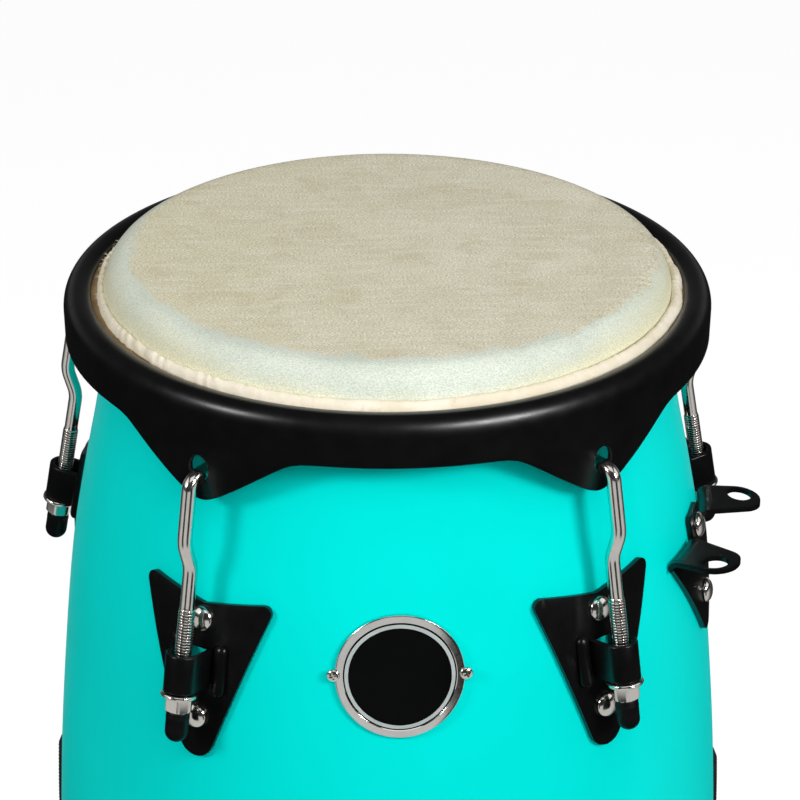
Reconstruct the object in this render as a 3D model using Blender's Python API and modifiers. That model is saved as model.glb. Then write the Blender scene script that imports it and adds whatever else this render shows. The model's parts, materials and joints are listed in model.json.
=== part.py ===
"""A conga drum: a belly-sided wooden shell, a rawhide head, a rounded steel rim and five tuning hooks.

Metres, +Z up. The drum stands on its rubber foot at z = 0, and the badge on its front faces -Y.
An azimuth is measured from the front towards +X. In a lug's own frame outwards is -Y.
"""

import math

import bmesh
import bpy
from mathutils import Matrix, Vector

# Whole drum: the drum axis stands off the origin so that the origin is under the middle of the whole box
AXIS_X, AXIS_Y = -0.0042, -0.0067
GAP = 0.0003
ROUND_STEPS = 48
SMOOTH_ANGLE = 40.0
MERGE = 0.00002

# Shell: (height, outer radius) of the points its side runs smoothly through
SHELL_SIDE = (
    (0.006, 0.1150),
    (0.040, 0.1235),
    (0.100, 0.1390),
    (0.180, 0.1560),
    (0.270, 0.1690),
    (0.360, 0.1735),
    (0.430, 0.1713),
    (0.500, 0.1658),
    (0.560, 0.1592),
    (0.600, 0.1520),
    (0.638, 0.1441),
    (0.703, 0.1330),
)
SHELL_WALL = 0.0095
SHELL_ROWS = 13
LEAN_STEP = 0.004
BEARING_EDGE_TOP = 0.7110
BEARING_EDGE_R = 0.1275

# Rubber foot ring round the bottom edge of the shell
FOOT_WALL = 0.003
FOOT_HEIGHT = 0.020

# Head: a skin that folds over the bearing edge, wraps the flesh hoop and ends in a thick lip
SKIN = 0.0016
HEAD_TOP = 0.7137
HEAD_FLAT_R = 0.1235
COLLAR = (
    (0.1278, 0.7125),
    (0.1310, 0.7112),
    (0.1338, 0.7088),
    (0.1360, 0.7050),
    (0.1377, 0.7000),
    (0.1392, 0.6930),
)
LIP = ((0.1450, 0.6940), (0.1430, 0.6956), (0.1420, 0.6983))
LIP_HALF, LIP_TIP_LEAN = 0.0019, 0.0004
HOOP_R, HOOP_Z, HOOP_WIRE, HOOP_SIDES = 0.1497, 0.6903, 0.0032, 6
HOOP_WRAP_FROM, HOOP_WRAP_TO, HOOP_WRAP_POINTS = 215, 480, 7

# Rim: a rolled top and a skirt whose lower edge runs down into five ears
RIM_SHEET = 0.0025
RIM_CREST_R, RIM_CREST_Z = 0.1512, 0.6994
RIM_INNER_R, RIM_INNER_Z = 0.1447, 0.6962
RIM_WIDEST_R, RIM_WIDEST_Z = 0.1582, 0.6905
RIM_EDGE_R, RIM_EDGE_Z = 0.1574, 0.6752
EAR_TIP_Z = 0.6462
EAR_SLOPE = 0.72
EAR_TIP_ROUND = 0.0075
EAR_TOP_ROUND = 0.004
EAR_HOLE_Z, EAR_HOLE_R, EAR_HOLE_TALL, EAR_CUTTER = 0.6621, 0.0049, 1.3, 0.020
EAR_SPAN, EAR_STEPS, SKIRT_STEPS = 17.0, 12, 6
SKIRT_ROWS = (0.5, 1.0)

# Tuning lugs: the rod leans outwards on its way down, and passes its foot point at the sleeve's lower end
LUG_AZIMUTHS = (-36.0, 36.0, 108.0, 180.0, -108.0)
ROD_TILT = 10.6
ROD_FOOT_R, ROD_FOOT_Z = 0.1771, 0.5546
ROD_R = 0.0035
ROD_LOWER_END = -0.0230
HOOK_JOG = (0.0614, 0.0739, 0.0066)
HOOK_REACH = (0.1053, -0.0078, 0.0028)
HOOK_BENDS = (0.010, 0.010, 0.0065)

# Sleeve: a U-strap round the rod, welded to the side plate
SLEEVE_LENGTH, SLEEVE_R, SLEEVE_WALL = 0.0190, 0.0081, 0.0026
SLEEVE_FOOT_HALF, SLEEVE_FOOT_ROUND = 0.0158, 0.0034

# Nut and cap under the sleeve
NUT_FLANGE_R, NUT_FLANGE_H = 0.0092, 0.0028
NUT_HEX_R, NUT_HEX_H = 0.0070, 0.0068
NUT_BORE_R = 0.00375
CAP_R, CAP_LENGTH = 0.0056, 0.0158

# Side plates: a shield with two wings, a shallow notch between them and a round tip.
# Scores are the shares of a width or height at which a flat sheet is cut so that it bends smoothly
PLATE_SHEET, PLATE_GAP = 0.0025, 0.0006
PLATE_WING = (0.0370, 0.5980)
PLATE_NOTCH_Z, PLATE_POINT_Z = 0.5912, 0.4945
PLATE_WING_ROUND, PLATE_NOTCH_ROUND, PLATE_TIP_ROUND = 0.0040, 0.0030, 0.0095
PLATE_BOLT_HEIGHTS = (0.5835, 0.5345)
PLATE_SCORES, PLATE_LEVEL_SCORE = (-0.6, -0.3, 0.0, 0.3, 0.6), 0.6

# Bolts and the plates that back them inside the shell
BOLT_HEAD_R, BOLT_HEAD_H, BOLT_R = 0.0062, 0.0040, 0.0030
BOLT_HOLE_R = 0.0034
CUTTER_LENGTH = 0.060
BACKING_SHEET, BACKING_HALF_W, BACKING_MARGIN, BACKING_BOW = 0.0030, 0.0120, 0.0100, 0.0018
BOLT_TIP_PROUD = 0.0010

# Badge and its two screws
BADGE_AZIMUTH, BADGE_Z, BADGE_R, BADGE_SHEET = -0.8, 0.5681, 0.0300, 0.0016
BADGE_SIDES, BADGE_SCORES = 36, (-0.6, -0.2, 0.2, 0.6)
SCREW_SPREAD, SCREW_HEAD_R, SCREW_HEAD_H = 0.0306, 0.0031, 0.0016
SCREW_R, SCREW_LENGTH, SCREW_HOLE_R = 0.0013, 0.0070, 0.0017

# Stand bracket: a shorter shield whose two wings fold out into flat tabs with holes
BRACKET_AZIMUTH = 72.4
BRACKET_FOLD_Z, BRACKET_BEND = 0.5795, 0.0050
BRACKET_WING, BRACKET_POINT_Z, BRACKET_TIP_ROUND = 0.0405, 0.5215, 0.0070
BRACKET_TONGUE, BRACKET_TONGUE_Z, BRACKET_CORNER = 0.0100, 0.5920, 0.0025
TAB_INNER, TAB_OUTER, TAB_END_Z, TAB_ROUND, TAB_END_FLAT = 0.0120, 0.0470, 0.6140, 0.0104, 0.0002
TAB_HOLE = (0.0365, 0.6035, 0.0063)
BRACKET_BOLT_HEIGHTS = (0.5835, 0.5475)
BRACKET_SCORES, BEND_SCORES = (-0.7, -0.4, 0.0, 0.4, 0.7), (-2.5, 0.0, 0.33, 0.67, 1.0)

# Ribbed rubber bumpers low on the shell's sides
BUMPER_AZIMUTHS = (-108.0, 101.5)
BUMPER_HALF_SPAN = 10.0
BUMPER_TOPS = (0.4210, 0.4130)
BUMPER_HEIGHT, BUMPER_THICK = 0.060, 0.0052
BUMPER_RIB_PITCH, BUMPER_RIB_DEPTH = 0.0050, 0.0008
BUMPER_STEPS, BUMPER_BACK_POINTS = 5, 4


def clear_scene():
    for obj in list(bpy.data.objects):
        bpy.data.objects.remove(obj, do_unlink=True)


def new_collection(name):
    collection = bpy.data.collections.new(name)
    bpy.context.scene.collection.children.link(collection)
    return collection


def new_material(name, color, roughness, metallic=0.0):
    material = bpy.data.materials.new(name)
    material.use_nodes = True
    shader = material.node_tree.nodes["Principled BSDF"]
    shader.inputs["Base Color"].default_value = (*color, 1.0)
    shader.inputs["Roughness"].default_value = roughness
    shader.inputs["Metallic"].default_value = metallic
    return material


def add_part(name, data, material, parent, location=(0, 0, 0), rotation=(0, 0, 0)):
    """An object of the drum, placed in its parent's frame."""
    obj = bpy.data.objects.new(name, data)
    PARTS.objects.link(obj)
    if not data.materials:
        data.materials.append(material)
    obj.parent = parent
    obj.location = location
    obj.rotation_euler = rotation
    return obj


def add_empty(name, parent=None, location=(0, 0, 0), rotation=(0, 0, 0)):
    empty = bpy.data.objects.new(name, None)
    PARTS.objects.link(empty)
    empty.parent = parent
    empty.location = location
    empty.rotation_euler = rotation
    return empty


def add_cutter(name, mesh, parent=None):
    cutter = bpy.data.objects.new(name, mesh)
    CUTTERS.objects.link(cutter)
    cutter.parent = parent
    cutter.hide_render = True
    cutter.display_type = "WIRE"
    return cutter


def combine(obj, other, operation="DIFFERENCE"):
    boolean = obj.modifiers.new(operation.title(), "BOOLEAN")
    boolean.operation = operation
    boolean.object = other


def baked(obj):
    """The object's evaluated mesh as new mesh data; the object itself is removed."""
    bpy.context.view_layer.update()
    graph = bpy.context.evaluated_depsgraph_get()
    mesh = bpy.data.meshes.new_from_object(obj.evaluated_get(graph))
    mesh.name = obj.name
    bpy.data.objects.remove(obj, do_unlink=True)
    return mesh


def mesh_of(name, bm, smooth_angle=SMOOTH_ANGLE):
    mesh = bpy.data.meshes.new(name)
    bm.to_mesh(mesh)
    bm.free()
    mesh.shade_smooth()
    mesh.set_sharp_from_angle(angle=math.radians(smooth_angle))
    return mesh


def curve_value(points, x):
    """The value at x of a smooth curve through (x, value) points in rising order."""
    last = len(points) - 1
    i = min(max(sum(point[0] < x for point in points), 1), last)

    def slope(k):
        low, high = points[max(k - 1, 0)], points[min(k + 1, last)]
        return (high[1] - low[1]) / (high[0] - low[0])

    (x0, y0), (x1, y1) = points[i - 1], points[i]
    width = x1 - x0
    t = (x - x0) / width
    start = (2 * t**3 - 3 * t**2 + 1) * y0 + (t**3 - 2 * t**2 + t) * slope(i - 1) * width
    end = (3 * t**2 - 2 * t**3) * y1 + (t**3 - t**2) * slope(i) * width
    return start + end


def shell_radius(z):
    return curve_value(SHELL_SIDE, z)


def shell_lean(z):
    """The angle by which the shell's outward normal points above the level."""
    drop = shell_radius(z - LEAN_STEP) - shell_radius(z + LEAN_STEP)
    return math.atan(drop / (2 * LEAN_STEP))


def on_shell(a, z, off):
    """The point at arc length a and height z, off the shell's outer side by off, in a frame facing -Y."""
    radius = shell_radius(z)
    angle = a / radius
    return Vector(((radius + off) * math.sin(angle), -(radius + off) * math.cos(angle), z))


def arc(center, radius, start, stop, count):
    """Points from angle start to stop, in degrees; radius is one number, or one for each axis."""
    across, up = radius if isinstance(radius, tuple) else (radius, radius)
    angles = [math.radians(start + (stop - start) * i / (count - 1)) for i in range(count)]
    return [(center[0] + across * math.cos(t), center[1] + up * math.sin(t)) for t in angles]


def rounded(corners, count=5, closed=True):
    """A line through (x, y, radius) corners, with an arc of that radius at each."""
    points = []
    for i, (x, y, radius) in enumerate(corners):
        ends = not closed and i in (0, len(corners) - 1)
        if ends or radius == 0:
            points.append(Vector((x, y)))
            continue
        corner = Vector((x, y))
        back = (Vector(corners[i - 1][:2]) - corner).normalized()
        ahead = (Vector(corners[(i + 1) % len(corners)][:2]) - corner).normalized()
        half = back.angle(ahead) / 2
        reach = radius / math.tan(half)
        middle = corner + (back + ahead).normalized() * (radius / math.sin(half))
        first = corner + back * reach - middle
        turn = first.angle_signed(corner + ahead * reach - middle)
        for k in range(count):
            points.append(middle + Matrix.Rotation(-turn * k / (count - 1), 2) @ first)
    return points


def circle(center, radius, count):
    return arc(center, radius, 0, 360 - 360 / count, count)


def turned(name, profile, steps=ROUND_STEPS, closed=False):
    """A mesh object of the profile's (radius, height) points with a Screw modifier round Z."""
    mesh = bpy.data.meshes.new(name)
    count = len(profile)
    edges = [(i, i + 1) for i in range(count - 1)] + [(count - 1, 0)] * closed
    mesh.from_pydata([(r, 0, z) for r, z in profile], edges, [])
    obj = bpy.data.objects.new(name, mesh)
    CUTTERS.objects.link(obj)
    screw = obj.modifiers.new("Turn", "SCREW")
    screw.steps = screw.render_steps = steps
    screw.use_merge_vertices = True
    screw.merge_threshold = MERGE
    mesh = baked(obj)
    mesh.shade_smooth()
    mesh.set_sharp_from_angle(angle=math.radians(SMOOTH_ANGLE))
    return mesh


def sheet(name, loops, a_cuts, z_cuts, place, thickness):
    """A flat pattern filled between its outlines, scored along the cuts, bent by place and thickened."""
    bm = bmesh.new()
    for loop in loops:
        verts = [bm.verts.new((x, y, 0)) for x, y in loop]
        for i, vert in enumerate(verts):
            bm.edges.new((vert, verts[i - 1]))
    bmesh.ops.triangle_fill(bm, edges=bm.edges[:], use_beauty=True, normal=Vector((0, 0, 1)))
    lines = [(Vector((a, 0, 0)), Vector((1, 0, 0))) for a in a_cuts]
    lines += [(Vector((0, z, 0)), Vector((0, 1, 0))) for z in z_cuts]
    for point, normal in lines:
        geometry = bm.verts[:] + bm.edges[:] + bm.faces[:]
        bmesh.ops.bisect_plane(bm, geom=geometry, dist=MERGE, plane_co=point, plane_no=normal)
    for vert in bm.verts:
        vert.co = place(vert.co.x, vert.co.y)
    obj = bpy.data.objects.new(name, mesh_of(name, bm))
    CUTTERS.objects.link(obj)
    solid = obj.modifiers.new("Sheet", "SOLIDIFY")
    solid.thickness = thickness
    solid.offset = 1.0
    solid.use_even_offset = True
    return obj


def cylinders(name, placed, segments=12):
    """One mesh of cylinders given as (radius, length, matrix), each centred on its matrix, along its Z."""
    bm = bmesh.new()
    for radius, length, matrix in placed:
        bmesh.ops.create_cone(
            bm,
            cap_ends=True,
            segments=segments,
            radius1=radius,
            radius2=radius,
            depth=length,
            matrix=matrix,
        )
    return mesh_of(name, bm)


def facing_out(z, off, a=0.0):
    """The frame off the shell at height z whose Z axis is the outward normal, for a lug facing -Y."""
    turn = Matrix.Rotation(a / shell_radius(z), 4, "Z")
    lean = Matrix.Rotation(math.pi / 2 - shell_lean(z), 4, "X")
    return Matrix.Translation(on_shell(a, z, 0)) @ turn @ lean @ Matrix.Translation((0, 0, off))


def bolt_holes(heights):
    """Cylinders through plate, shell and backing plate on the bolts' axes."""
    return [(BOLT_HOLE_R, CUTTER_LENGTH, facing_out(z, 0)) for z in heights]


def cut_with_bolts(obj, heights):
    """The mesh of a lug's plate with its bolt holes cut."""
    cutter = add_cutter(obj.name + "_bolt_holes", cylinders(obj.name + "_bolt_holes", bolt_holes(heights)))
    combine(obj, cutter)
    mesh = baked(obj)
    bpy.data.objects.remove(cutter, do_unlink=True)
    return mesh


def make_shell(axis, lacquer):
    heights = [z for z, _ in SHELL_SIDE]
    low, high = heights[0], heights[-1]
    rows = [high + (low - high) * i / (SHELL_ROWS - 1) for i in range(SHELL_ROWS)]
    outside = [(shell_radius(z), z) for z in rows]
    inside = [(shell_radius(z) - SHELL_WALL, z) for z in rows[::-1]]
    edge_r = outside[0][0] - BEARING_EDGE_R
    edge = arc((BEARING_EDGE_R, high), (edge_r, BEARING_EDGE_TOP - high), 90, 0, 4)[:-1]
    shell = add_part("shell", turned("shell", edge + outside + inside, closed=True), lacquer, axis)

    holes = []
    for azimuth in LUG_AZIMUTHS:
        turn = Matrix.Rotation(math.radians(azimuth), 4, "Z")
        holes += [(r, length, turn @ frame) for r, length, frame in bolt_holes(PLATE_BOLT_HEIGHTS)]
    turn = Matrix.Rotation(math.radians(BRACKET_AZIMUTH), 4, "Z")
    holes += [(r, length, turn @ frame) for r, length, frame in bolt_holes(BRACKET_BOLT_HEIGHTS)]
    turn = Matrix.Rotation(math.radians(BADGE_AZIMUTH), 4, "Z")
    for side in (-1, 1):
        frame = facing_out(BADGE_Z, 0, side * SCREW_SPREAD)
        holes.append((SCREW_HOLE_R, 2 * SCREW_LENGTH + 2 * GAP, turn @ frame))
    combine(shell, add_cutter("shell_holes", cylinders("shell_holes", holes, segments=10), axis))


def make_foot(axis, rubber):
    low = SHELL_SIDE[0][0]
    bottom_r = shell_radius(low)
    inner_r = bottom_r - SHELL_WALL
    outer = [(shell_radius(z) + GAP, z) for z in (FOOT_HEIGHT, low)]
    inner = [(shell_radius(z) - SHELL_WALL - GAP, z) for z in (low, FOOT_HEIGHT)]
    cover = [(shell_radius(FOOT_HEIGHT) + FOOT_WALL, FOOT_HEIGHT), (bottom_r + FOOT_WALL, 0)]
    lining = [(inner_r - FOOT_WALL, 0), (shell_radius(FOOT_HEIGHT) - SHELL_WALL - FOOT_WALL, FOOT_HEIGHT)]
    seat = [(r, z - GAP) if z == low else (r, z) for r, z in inner[::-1] + outer[::-1]]
    profile = cover + lining + seat
    add_part("base_ring", turned("base_ring", profile, closed=True), rubber, axis)


def make_head(axis, skin):
    """The skin as a line with a thickness, from the middle of the head to the lip."""
    half = SKIN / 2
    wrap = HOOP_WIRE + GAP + half
    path = [(0.0, HEAD_TOP - half), (HEAD_FLAT_R, HEAD_TOP - half)]
    path += COLLAR
    path += arc((HOOP_R, HOOP_Z), wrap, HOOP_WRAP_FROM, HOOP_WRAP_TO, HOOP_WRAP_POINTS)
    path += LIP
    width = [half] * (len(path) - 1) + [LIP_HALF]
    upper, lower = [], []
    for i, (r, z) in enumerate(path):
        before, after = path[max(i - 1, 0)], path[min(i + 1, len(path) - 1)]
        along = Vector((after[0] - before[0], after[1] - before[1])).normalized()
        side = Vector((-along.y, along.x)) * width[i]
        upper.append((r + side.x, z + side.y))
        lower.append((r - side.x, z - side.y))
    end = path[-1]
    tip = (end[0] - LIP_TIP_LEAN, end[1] + LIP_HALF)
    profile = upper + [tip] + lower[::-1]
    profile[0] = (0.0, profile[0][1])
    profile[-1] = (0.0, profile[-1][1])
    add_part("drum_head", turned("drum_head", profile), skin, axis)


def make_flesh_hoop(axis, steel):
    section = arc((HOOP_R, HOOP_Z), HOOP_WIRE, 90, 360 / HOOP_SIDES - 270, HOOP_SIDES)
    add_part("flesh_hoop", turned("flesh_hoop", section, closed=True), steel, axis)


def ear_edge(degrees):
    """The height of the skirt's lower edge at this many degrees from the nearest ear's middle."""
    along = math.radians(degrees) * RIM_EDGE_R
    slant = EAR_TIP_Z + EAR_SLOPE * (math.hypot(along, EAR_TIP_ROUND) - EAR_TIP_ROUND)
    apart = slant - RIM_EDGE_Z
    return (slant + RIM_EDGE_Z - math.hypot(apart, EAR_TOP_ROUND)) / 2


def make_rim(axis, black):
    """A sheet of rows over the rolled top and down the skirt, thickened inwards, with a tall hole in each ear."""
    pitch = 360 / len(LUG_AZIMUTHS)
    ear = [-EAR_SPAN + 2 * EAR_SPAN * i / EAR_STEPS for i in range(EAR_STEPS)]
    plain = [EAR_SPAN + (pitch - 2 * EAR_SPAN) * i / SKIRT_STEPS for i in range(SKIRT_STEPS)]
    columns = [(center, offset) for center in LUG_AZIMUTHS for offset in ear + plain]
    inner_round = (RIM_CREST_R - RIM_INNER_R, RIM_CREST_Z - RIM_INNER_Z)
    outer_round = (RIM_WIDEST_R - RIM_CREST_R, RIM_CREST_Z - RIM_WIDEST_Z)
    rolled = arc((RIM_CREST_R, RIM_INNER_Z), inner_round, 180, 90, 4)
    rolled += arc((RIM_CREST_R, RIM_WIDEST_Z), outer_round, 90, 0, 4)[1:]

    bm = bmesh.new()
    rows = len(rolled) + len(SKIRT_ROWS)
    bmesh.ops.create_grid(bm, x_segments=len(columns), y_segments=rows - 1, size=0.5)
    for vert in bm.verts:
        column = round((vert.co.x + 0.5) * len(columns)) % len(columns)
        row = round((0.5 - vert.co.y) * (rows - 1))
        center, offset = columns[column]
        if row < len(rolled):
            radius, z = rolled[row]
        else:
            share = SKIRT_ROWS[row - len(rolled)]
            edge = ear_edge(min(offset, abs(pitch - offset)) if offset > 0 else offset)
            z = RIM_WIDEST_Z + (edge - RIM_WIDEST_Z) * share
            radius = RIM_WIDEST_R + (RIM_EDGE_R - RIM_WIDEST_R) * share
        angle = math.radians(center + offset)
        vert.co = (radius * math.sin(angle), -radius * math.cos(angle), z)
    bmesh.ops.remove_doubles(bm, verts=bm.verts, dist=MERGE)
    rim = add_part("rim", mesh_of("rim", bm), black, axis)
    sheet_metal = rim.modifiers.new("Sheet", "SOLIDIFY")
    sheet_metal.thickness = RIM_SHEET
    sheet_metal.offset = -1.0

    across = Matrix.Translation((0, -RIM_EDGE_R, EAR_HOLE_Z)) @ Matrix.Rotation(math.pi / 2, 4, "X")
    across @= Matrix.Diagonal((1, EAR_HOLE_TALL, 1, 1))
    turns = [Matrix.Rotation(math.radians(azimuth), 4, "Z") for azimuth in LUG_AZIMUTHS]
    holes = [(EAR_HOLE_R, EAR_CUTTER, turn @ across) for turn in turns]
    combine(rim, add_cutter("ear_holes", cylinders("ear_holes", holes), axis))


def hook_curve():
    """The rod's path in its own frame: Z up along the rod, outwards -Y."""
    jog_low, jog_high, jog_out = HOOK_JOG
    bend_z, end_out, end_rise = HOOK_REACH
    corners = [
        (0.0, ROD_LOWER_END, 0.0),
        (0.0, jog_low, HOOK_BENDS[0]),
        (jog_out, jog_high, HOOK_BENDS[1]),
        (jog_out, bend_z, HOOK_BENDS[2]),
        (end_out, bend_z + end_rise, 0.0),
    ]
    points = rounded(corners, count=5, closed=False)
    curve = bpy.data.curves.new("tuning_hook", "CURVE")
    curve.dimensions = "3D"
    curve.bevel_depth = ROD_R
    curve.bevel_resolution = 2
    curve.use_fill_caps = True
    spline = curve.splines.new("POLY")
    spline.points.add(len(points) - 1)
    for point, (out, along) in zip(spline.points, points):
        point.co = (0.0, -out, along, 1.0)
    return curve


def nut_mesh():
    """A hex nut with a round flange on top, bored through, GAP under the sleeve."""
    bm = bmesh.new()
    length = NUT_FLANGE_H + NUT_HEX_H
    middle = Matrix.Translation((0, 0, -GAP - length / 2))
    bmesh.ops.create_cone(
        bm, cap_ends=True, segments=6, radius1=NUT_HEX_R, radius2=NUT_HEX_R, depth=length, matrix=middle
    )
    nut = bpy.data.objects.new("tuning_nut", mesh_of("tuning_nut", bm, 20))
    CUTTERS.objects.link(nut)
    flange_at = Matrix.Translation((0, 0, -GAP - NUT_FLANGE_H / 2))
    flange = add_cutter("flange", cylinders("flange", [(NUT_FLANGE_R, NUT_FLANGE_H, flange_at)], 20))
    bore = add_cutter("nut_bore", cylinders("nut_bore", [(NUT_BORE_R, CUTTER_LENGTH, Matrix())], 12))
    combine(nut, flange, "UNION")
    combine(nut, bore)
    mesh = baked(nut)
    for cutter in (flange, bore):
        bpy.data.objects.remove(cutter, do_unlink=True)
    return mesh


def cap_mesh():
    """A round-ended cap with a blind bore that takes the rod's end."""
    top = -2 * GAP - NUT_FLANGE_H - NUT_HEX_H
    dome = top - CAP_LENGTH + CAP_R
    outside = [(CAP_R, top)] + arc((0, dome), CAP_R, 0, -90, 5)
    bore = [(0, ROD_LOWER_END - GAP), (NUT_BORE_R, ROD_LOWER_END - GAP), (NUT_BORE_R, top)]
    outside[-1] = (0, dome - CAP_R)
    return turned("hook_cap", outside + bore + [outside[0]], steps=14)


def sleeve_curve():
    """The U of the strap across the rod, extruded along it, with a round weld at each foot."""
    inner_r = SLEEVE_R - SLEEVE_WALL
    reach = []
    for along in (0.0, SLEEVE_LENGTH):
        tilt = math.radians(ROD_TILT)
        z = ROD_FOOT_Z + along * math.cos(tilt)
        rod = ROD_FOOT_R - along * math.sin(tilt)
        plate = shell_radius(z) + PLATE_GAP + PLATE_SHEET
        reach.append((rod - plate) * math.cos(tilt))
    foot = min(reach) - GAP
    half, weld = SLEEVE_FOOT_HALF, SLEEVE_FOOT_ROUND
    nose = arc((0, 0), SLEEVE_R, 180, 360, 11)
    right = arc((half - weld, foot), weld, 240, 360, 5)
    left = [(-x, y) for x, y in reversed(right)]
    hollow = [(inner_r, foot)] + arc((0, 0), inner_r, 360, 180, 9) + [(-inner_r, foot)]
    outline = left + nose + right + hollow
    curve = bpy.data.curves.new("lug_sleeve", "CURVE")
    curve.dimensions = "2D"
    curve.fill_mode = "BOTH"
    curve.extrude = SLEEVE_LENGTH / 2
    spline = curve.splines.new("POLY")
    spline.points.add(len(outline) - 1)
    for point, (x, y) in zip(spline.points, outline):
        point.co = (x, y, 0.0, 1.0)
    spline.use_cyclic_u = True
    return curve


def side_plate_mesh():
    wing_a, wing_z = PLATE_WING
    corners = [
        (0.0, PLATE_NOTCH_Z, PLATE_NOTCH_ROUND),
        (-wing_a, wing_z, PLATE_WING_ROUND),
        (0.0, PLATE_POINT_Z, PLATE_TIP_ROUND),
        (wing_a, wing_z, PLATE_WING_ROUND),
    ]
    a_cuts = [wing_a * share for share in PLATE_SCORES]
    z_cuts = [PLATE_POINT_Z + (wing_z - PLATE_POINT_Z) * PLATE_LEVEL_SCORE]
    plate = sheet(
        "side_plate",
        [rounded(corners, count=4)],
        a_cuts,
        z_cuts,
        lambda a, z: on_shell(a, z, PLATE_GAP),
        PLATE_SHEET,
    )
    return cut_with_bolts(plate, PLATE_BOLT_HEIGHTS)


def backing_plate_mesh(name, heights):
    """A flat strip against the inside of the shell that the bolts screw into."""
    middle = sum(heights) / len(heights)
    hollow = BACKING_HALF_W**2 / (2 * (shell_radius(middle) - SHELL_WALL))
    seat = SHELL_WALL + hollow + BACKING_BOW
    bm = bmesh.new()
    length = (max(heights) - min(heights)) / math.cos(shell_lean(middle)) + 2 * BACKING_MARGIN
    size = Matrix.Diagonal((2 * BACKING_HALF_W, length, BACKING_SHEET, 1))
    place = facing_out(middle, 0) @ Matrix.Translation((0, 0, -seat - BACKING_SHEET / 2))
    bmesh.ops.create_cube(bm, size=1.0, matrix=place @ size)
    strip = bpy.data.objects.new(name, mesh_of(name, bm))
    CUTTERS.objects.link(strip)
    return cut_with_bolts(strip, heights)


def bolt_mesh():
    """A domed bolt along Z, with the underside of its head at z = 0."""
    depth = PLATE_SHEET + PLATE_GAP + SHELL_WALL + BACKING_BOW + BACKING_SHEET + BOLT_TIP_PROUD
    dome = arc((0, 0), (BOLT_HEAD_R, BOLT_HEAD_H), 90, 0, 4)
    dome[0] = (0, BOLT_HEAD_H)
    return turned("plate_bolt", dome + [(BOLT_R, 0), (BOLT_R, -depth), (0, -depth)], steps=12)


def screw_mesh():
    dome = arc((0, 0), (SCREW_HEAD_R, SCREW_HEAD_H), 90, 0, 4)
    dome[0] = (0, SCREW_HEAD_H)
    shank = [(SCREW_R, 0), (SCREW_R, -SCREW_LENGTH), (0, -SCREW_LENGTH)]
    return turned("badge_screw", dome + shank, steps=12)


def make_lugs(axis, materials):
    """Five sets of hook, nut, cap, sleeve, side plate, backing plate and bolts, on shared meshes."""
    hook, nut, cap, sleeve = hook_curve(), nut_mesh(), cap_mesh(), sleeve_curve()
    plate = side_plate_mesh()
    backing = backing_plate_mesh("backing_plate", PLATE_BOLT_HEIGHTS)
    bolt = bolt_mesh()
    tilt = -math.radians(ROD_TILT)
    for number, azimuth in enumerate(LUG_AZIMUTHS, start=1):
        lug = add_empty(f"lug_{number}", axis, rotation=(0, 0, math.radians(azimuth)))
        rod = add_empty(f"rod_axis_{number}", lug, (0, -ROD_FOOT_R, ROD_FOOT_Z), (tilt, 0, 0))
        add_part(f"tuning_hook_{number}", hook, materials["nickel"], rod)
        add_part(f"tuning_nut_{number}", nut, materials["nickel"], rod)
        add_part(f"hook_cap_{number}", cap, materials["rubber"], rod)
        add_part(f"lug_sleeve_{number}", sleeve, materials["black"], rod, (0, 0, SLEEVE_LENGTH / 2))
        add_part(f"side_plate_{number}", plate, materials["black"], lug)
        add_part(f"backing_plate_{number}", backing, materials["steel"], lug)
        add_bolts(f"_{number}", bolt, materials["nickel"], lug, PLATE_BOLT_HEIGHTS)


def add_bolts(suffix, bolt, nickel, lug, heights, kind="plate"):
    for place, z in zip(("upper", "lower"), heights):
        frame = facing_out(z, PLATE_GAP + PLATE_SHEET + GAP)
        name = f"{kind}_bolt_{place}{suffix}"
        add_part(name, bolt, nickel, lug, frame.to_translation(), frame.to_euler())


def make_badge(axis, materials):
    face = add_empty("badge_front", axis, rotation=(0, 0, math.radians(BADGE_AZIMUTH)))
    disc = sheet(
        "badge",
        [circle((0.0, BADGE_Z), BADGE_R, BADGE_SIDES)],
        [BADGE_R * share for share in BADGE_SCORES],
        [BADGE_Z],
        lambda a, z: on_shell(a, z, PLATE_GAP),
        BADGE_SHEET,
    )
    frames = [facing_out(BADGE_Z, 0, side * SCREW_SPREAD) for side in (-1, 1)]
    holes = cylinders("screw_notches", [(SCREW_HOLE_R, SCREW_LENGTH, frame) for frame in frames], 10)
    cutter = add_cutter("screw_notches", holes)
    combine(disc, cutter)
    add_part("badge", baked(disc), materials["chrome"], face)
    bpy.data.objects.remove(cutter, do_unlink=True)
    screw = screw_mesh()
    for name, side in (("left", -1), ("right", 1)):
        frame = facing_out(BADGE_Z, PLATE_GAP + BADGE_SHEET + GAP, side * SCREW_SPREAD)
        place = frame.to_translation(), frame.to_euler()
        add_part(f"badge_screw_{name}", screw, materials["nickel"], face, *place)


def fold_bracket(a, z):
    """Flat pattern to bracket: on the shell below the fold and on the tongue, bent out level above it."""
    if z <= BRACKET_FOLD_Z or abs(a) <= BRACKET_TONGUE + GAP:
        return on_shell(a, z, PLATE_GAP)
    root = on_shell(a, BRACKET_FOLD_Z, PLATE_GAP)
    run = z - BRACKET_FOLD_Z
    turn = min(run / BRACKET_BEND, math.pi / 2)
    flat = max(run - BRACKET_BEND * math.pi / 2, 0.0)
    out = BRACKET_BEND * (1 - math.cos(turn)) + flat
    return root + Vector((0, -out, BRACKET_BEND * math.sin(turn)))


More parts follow.
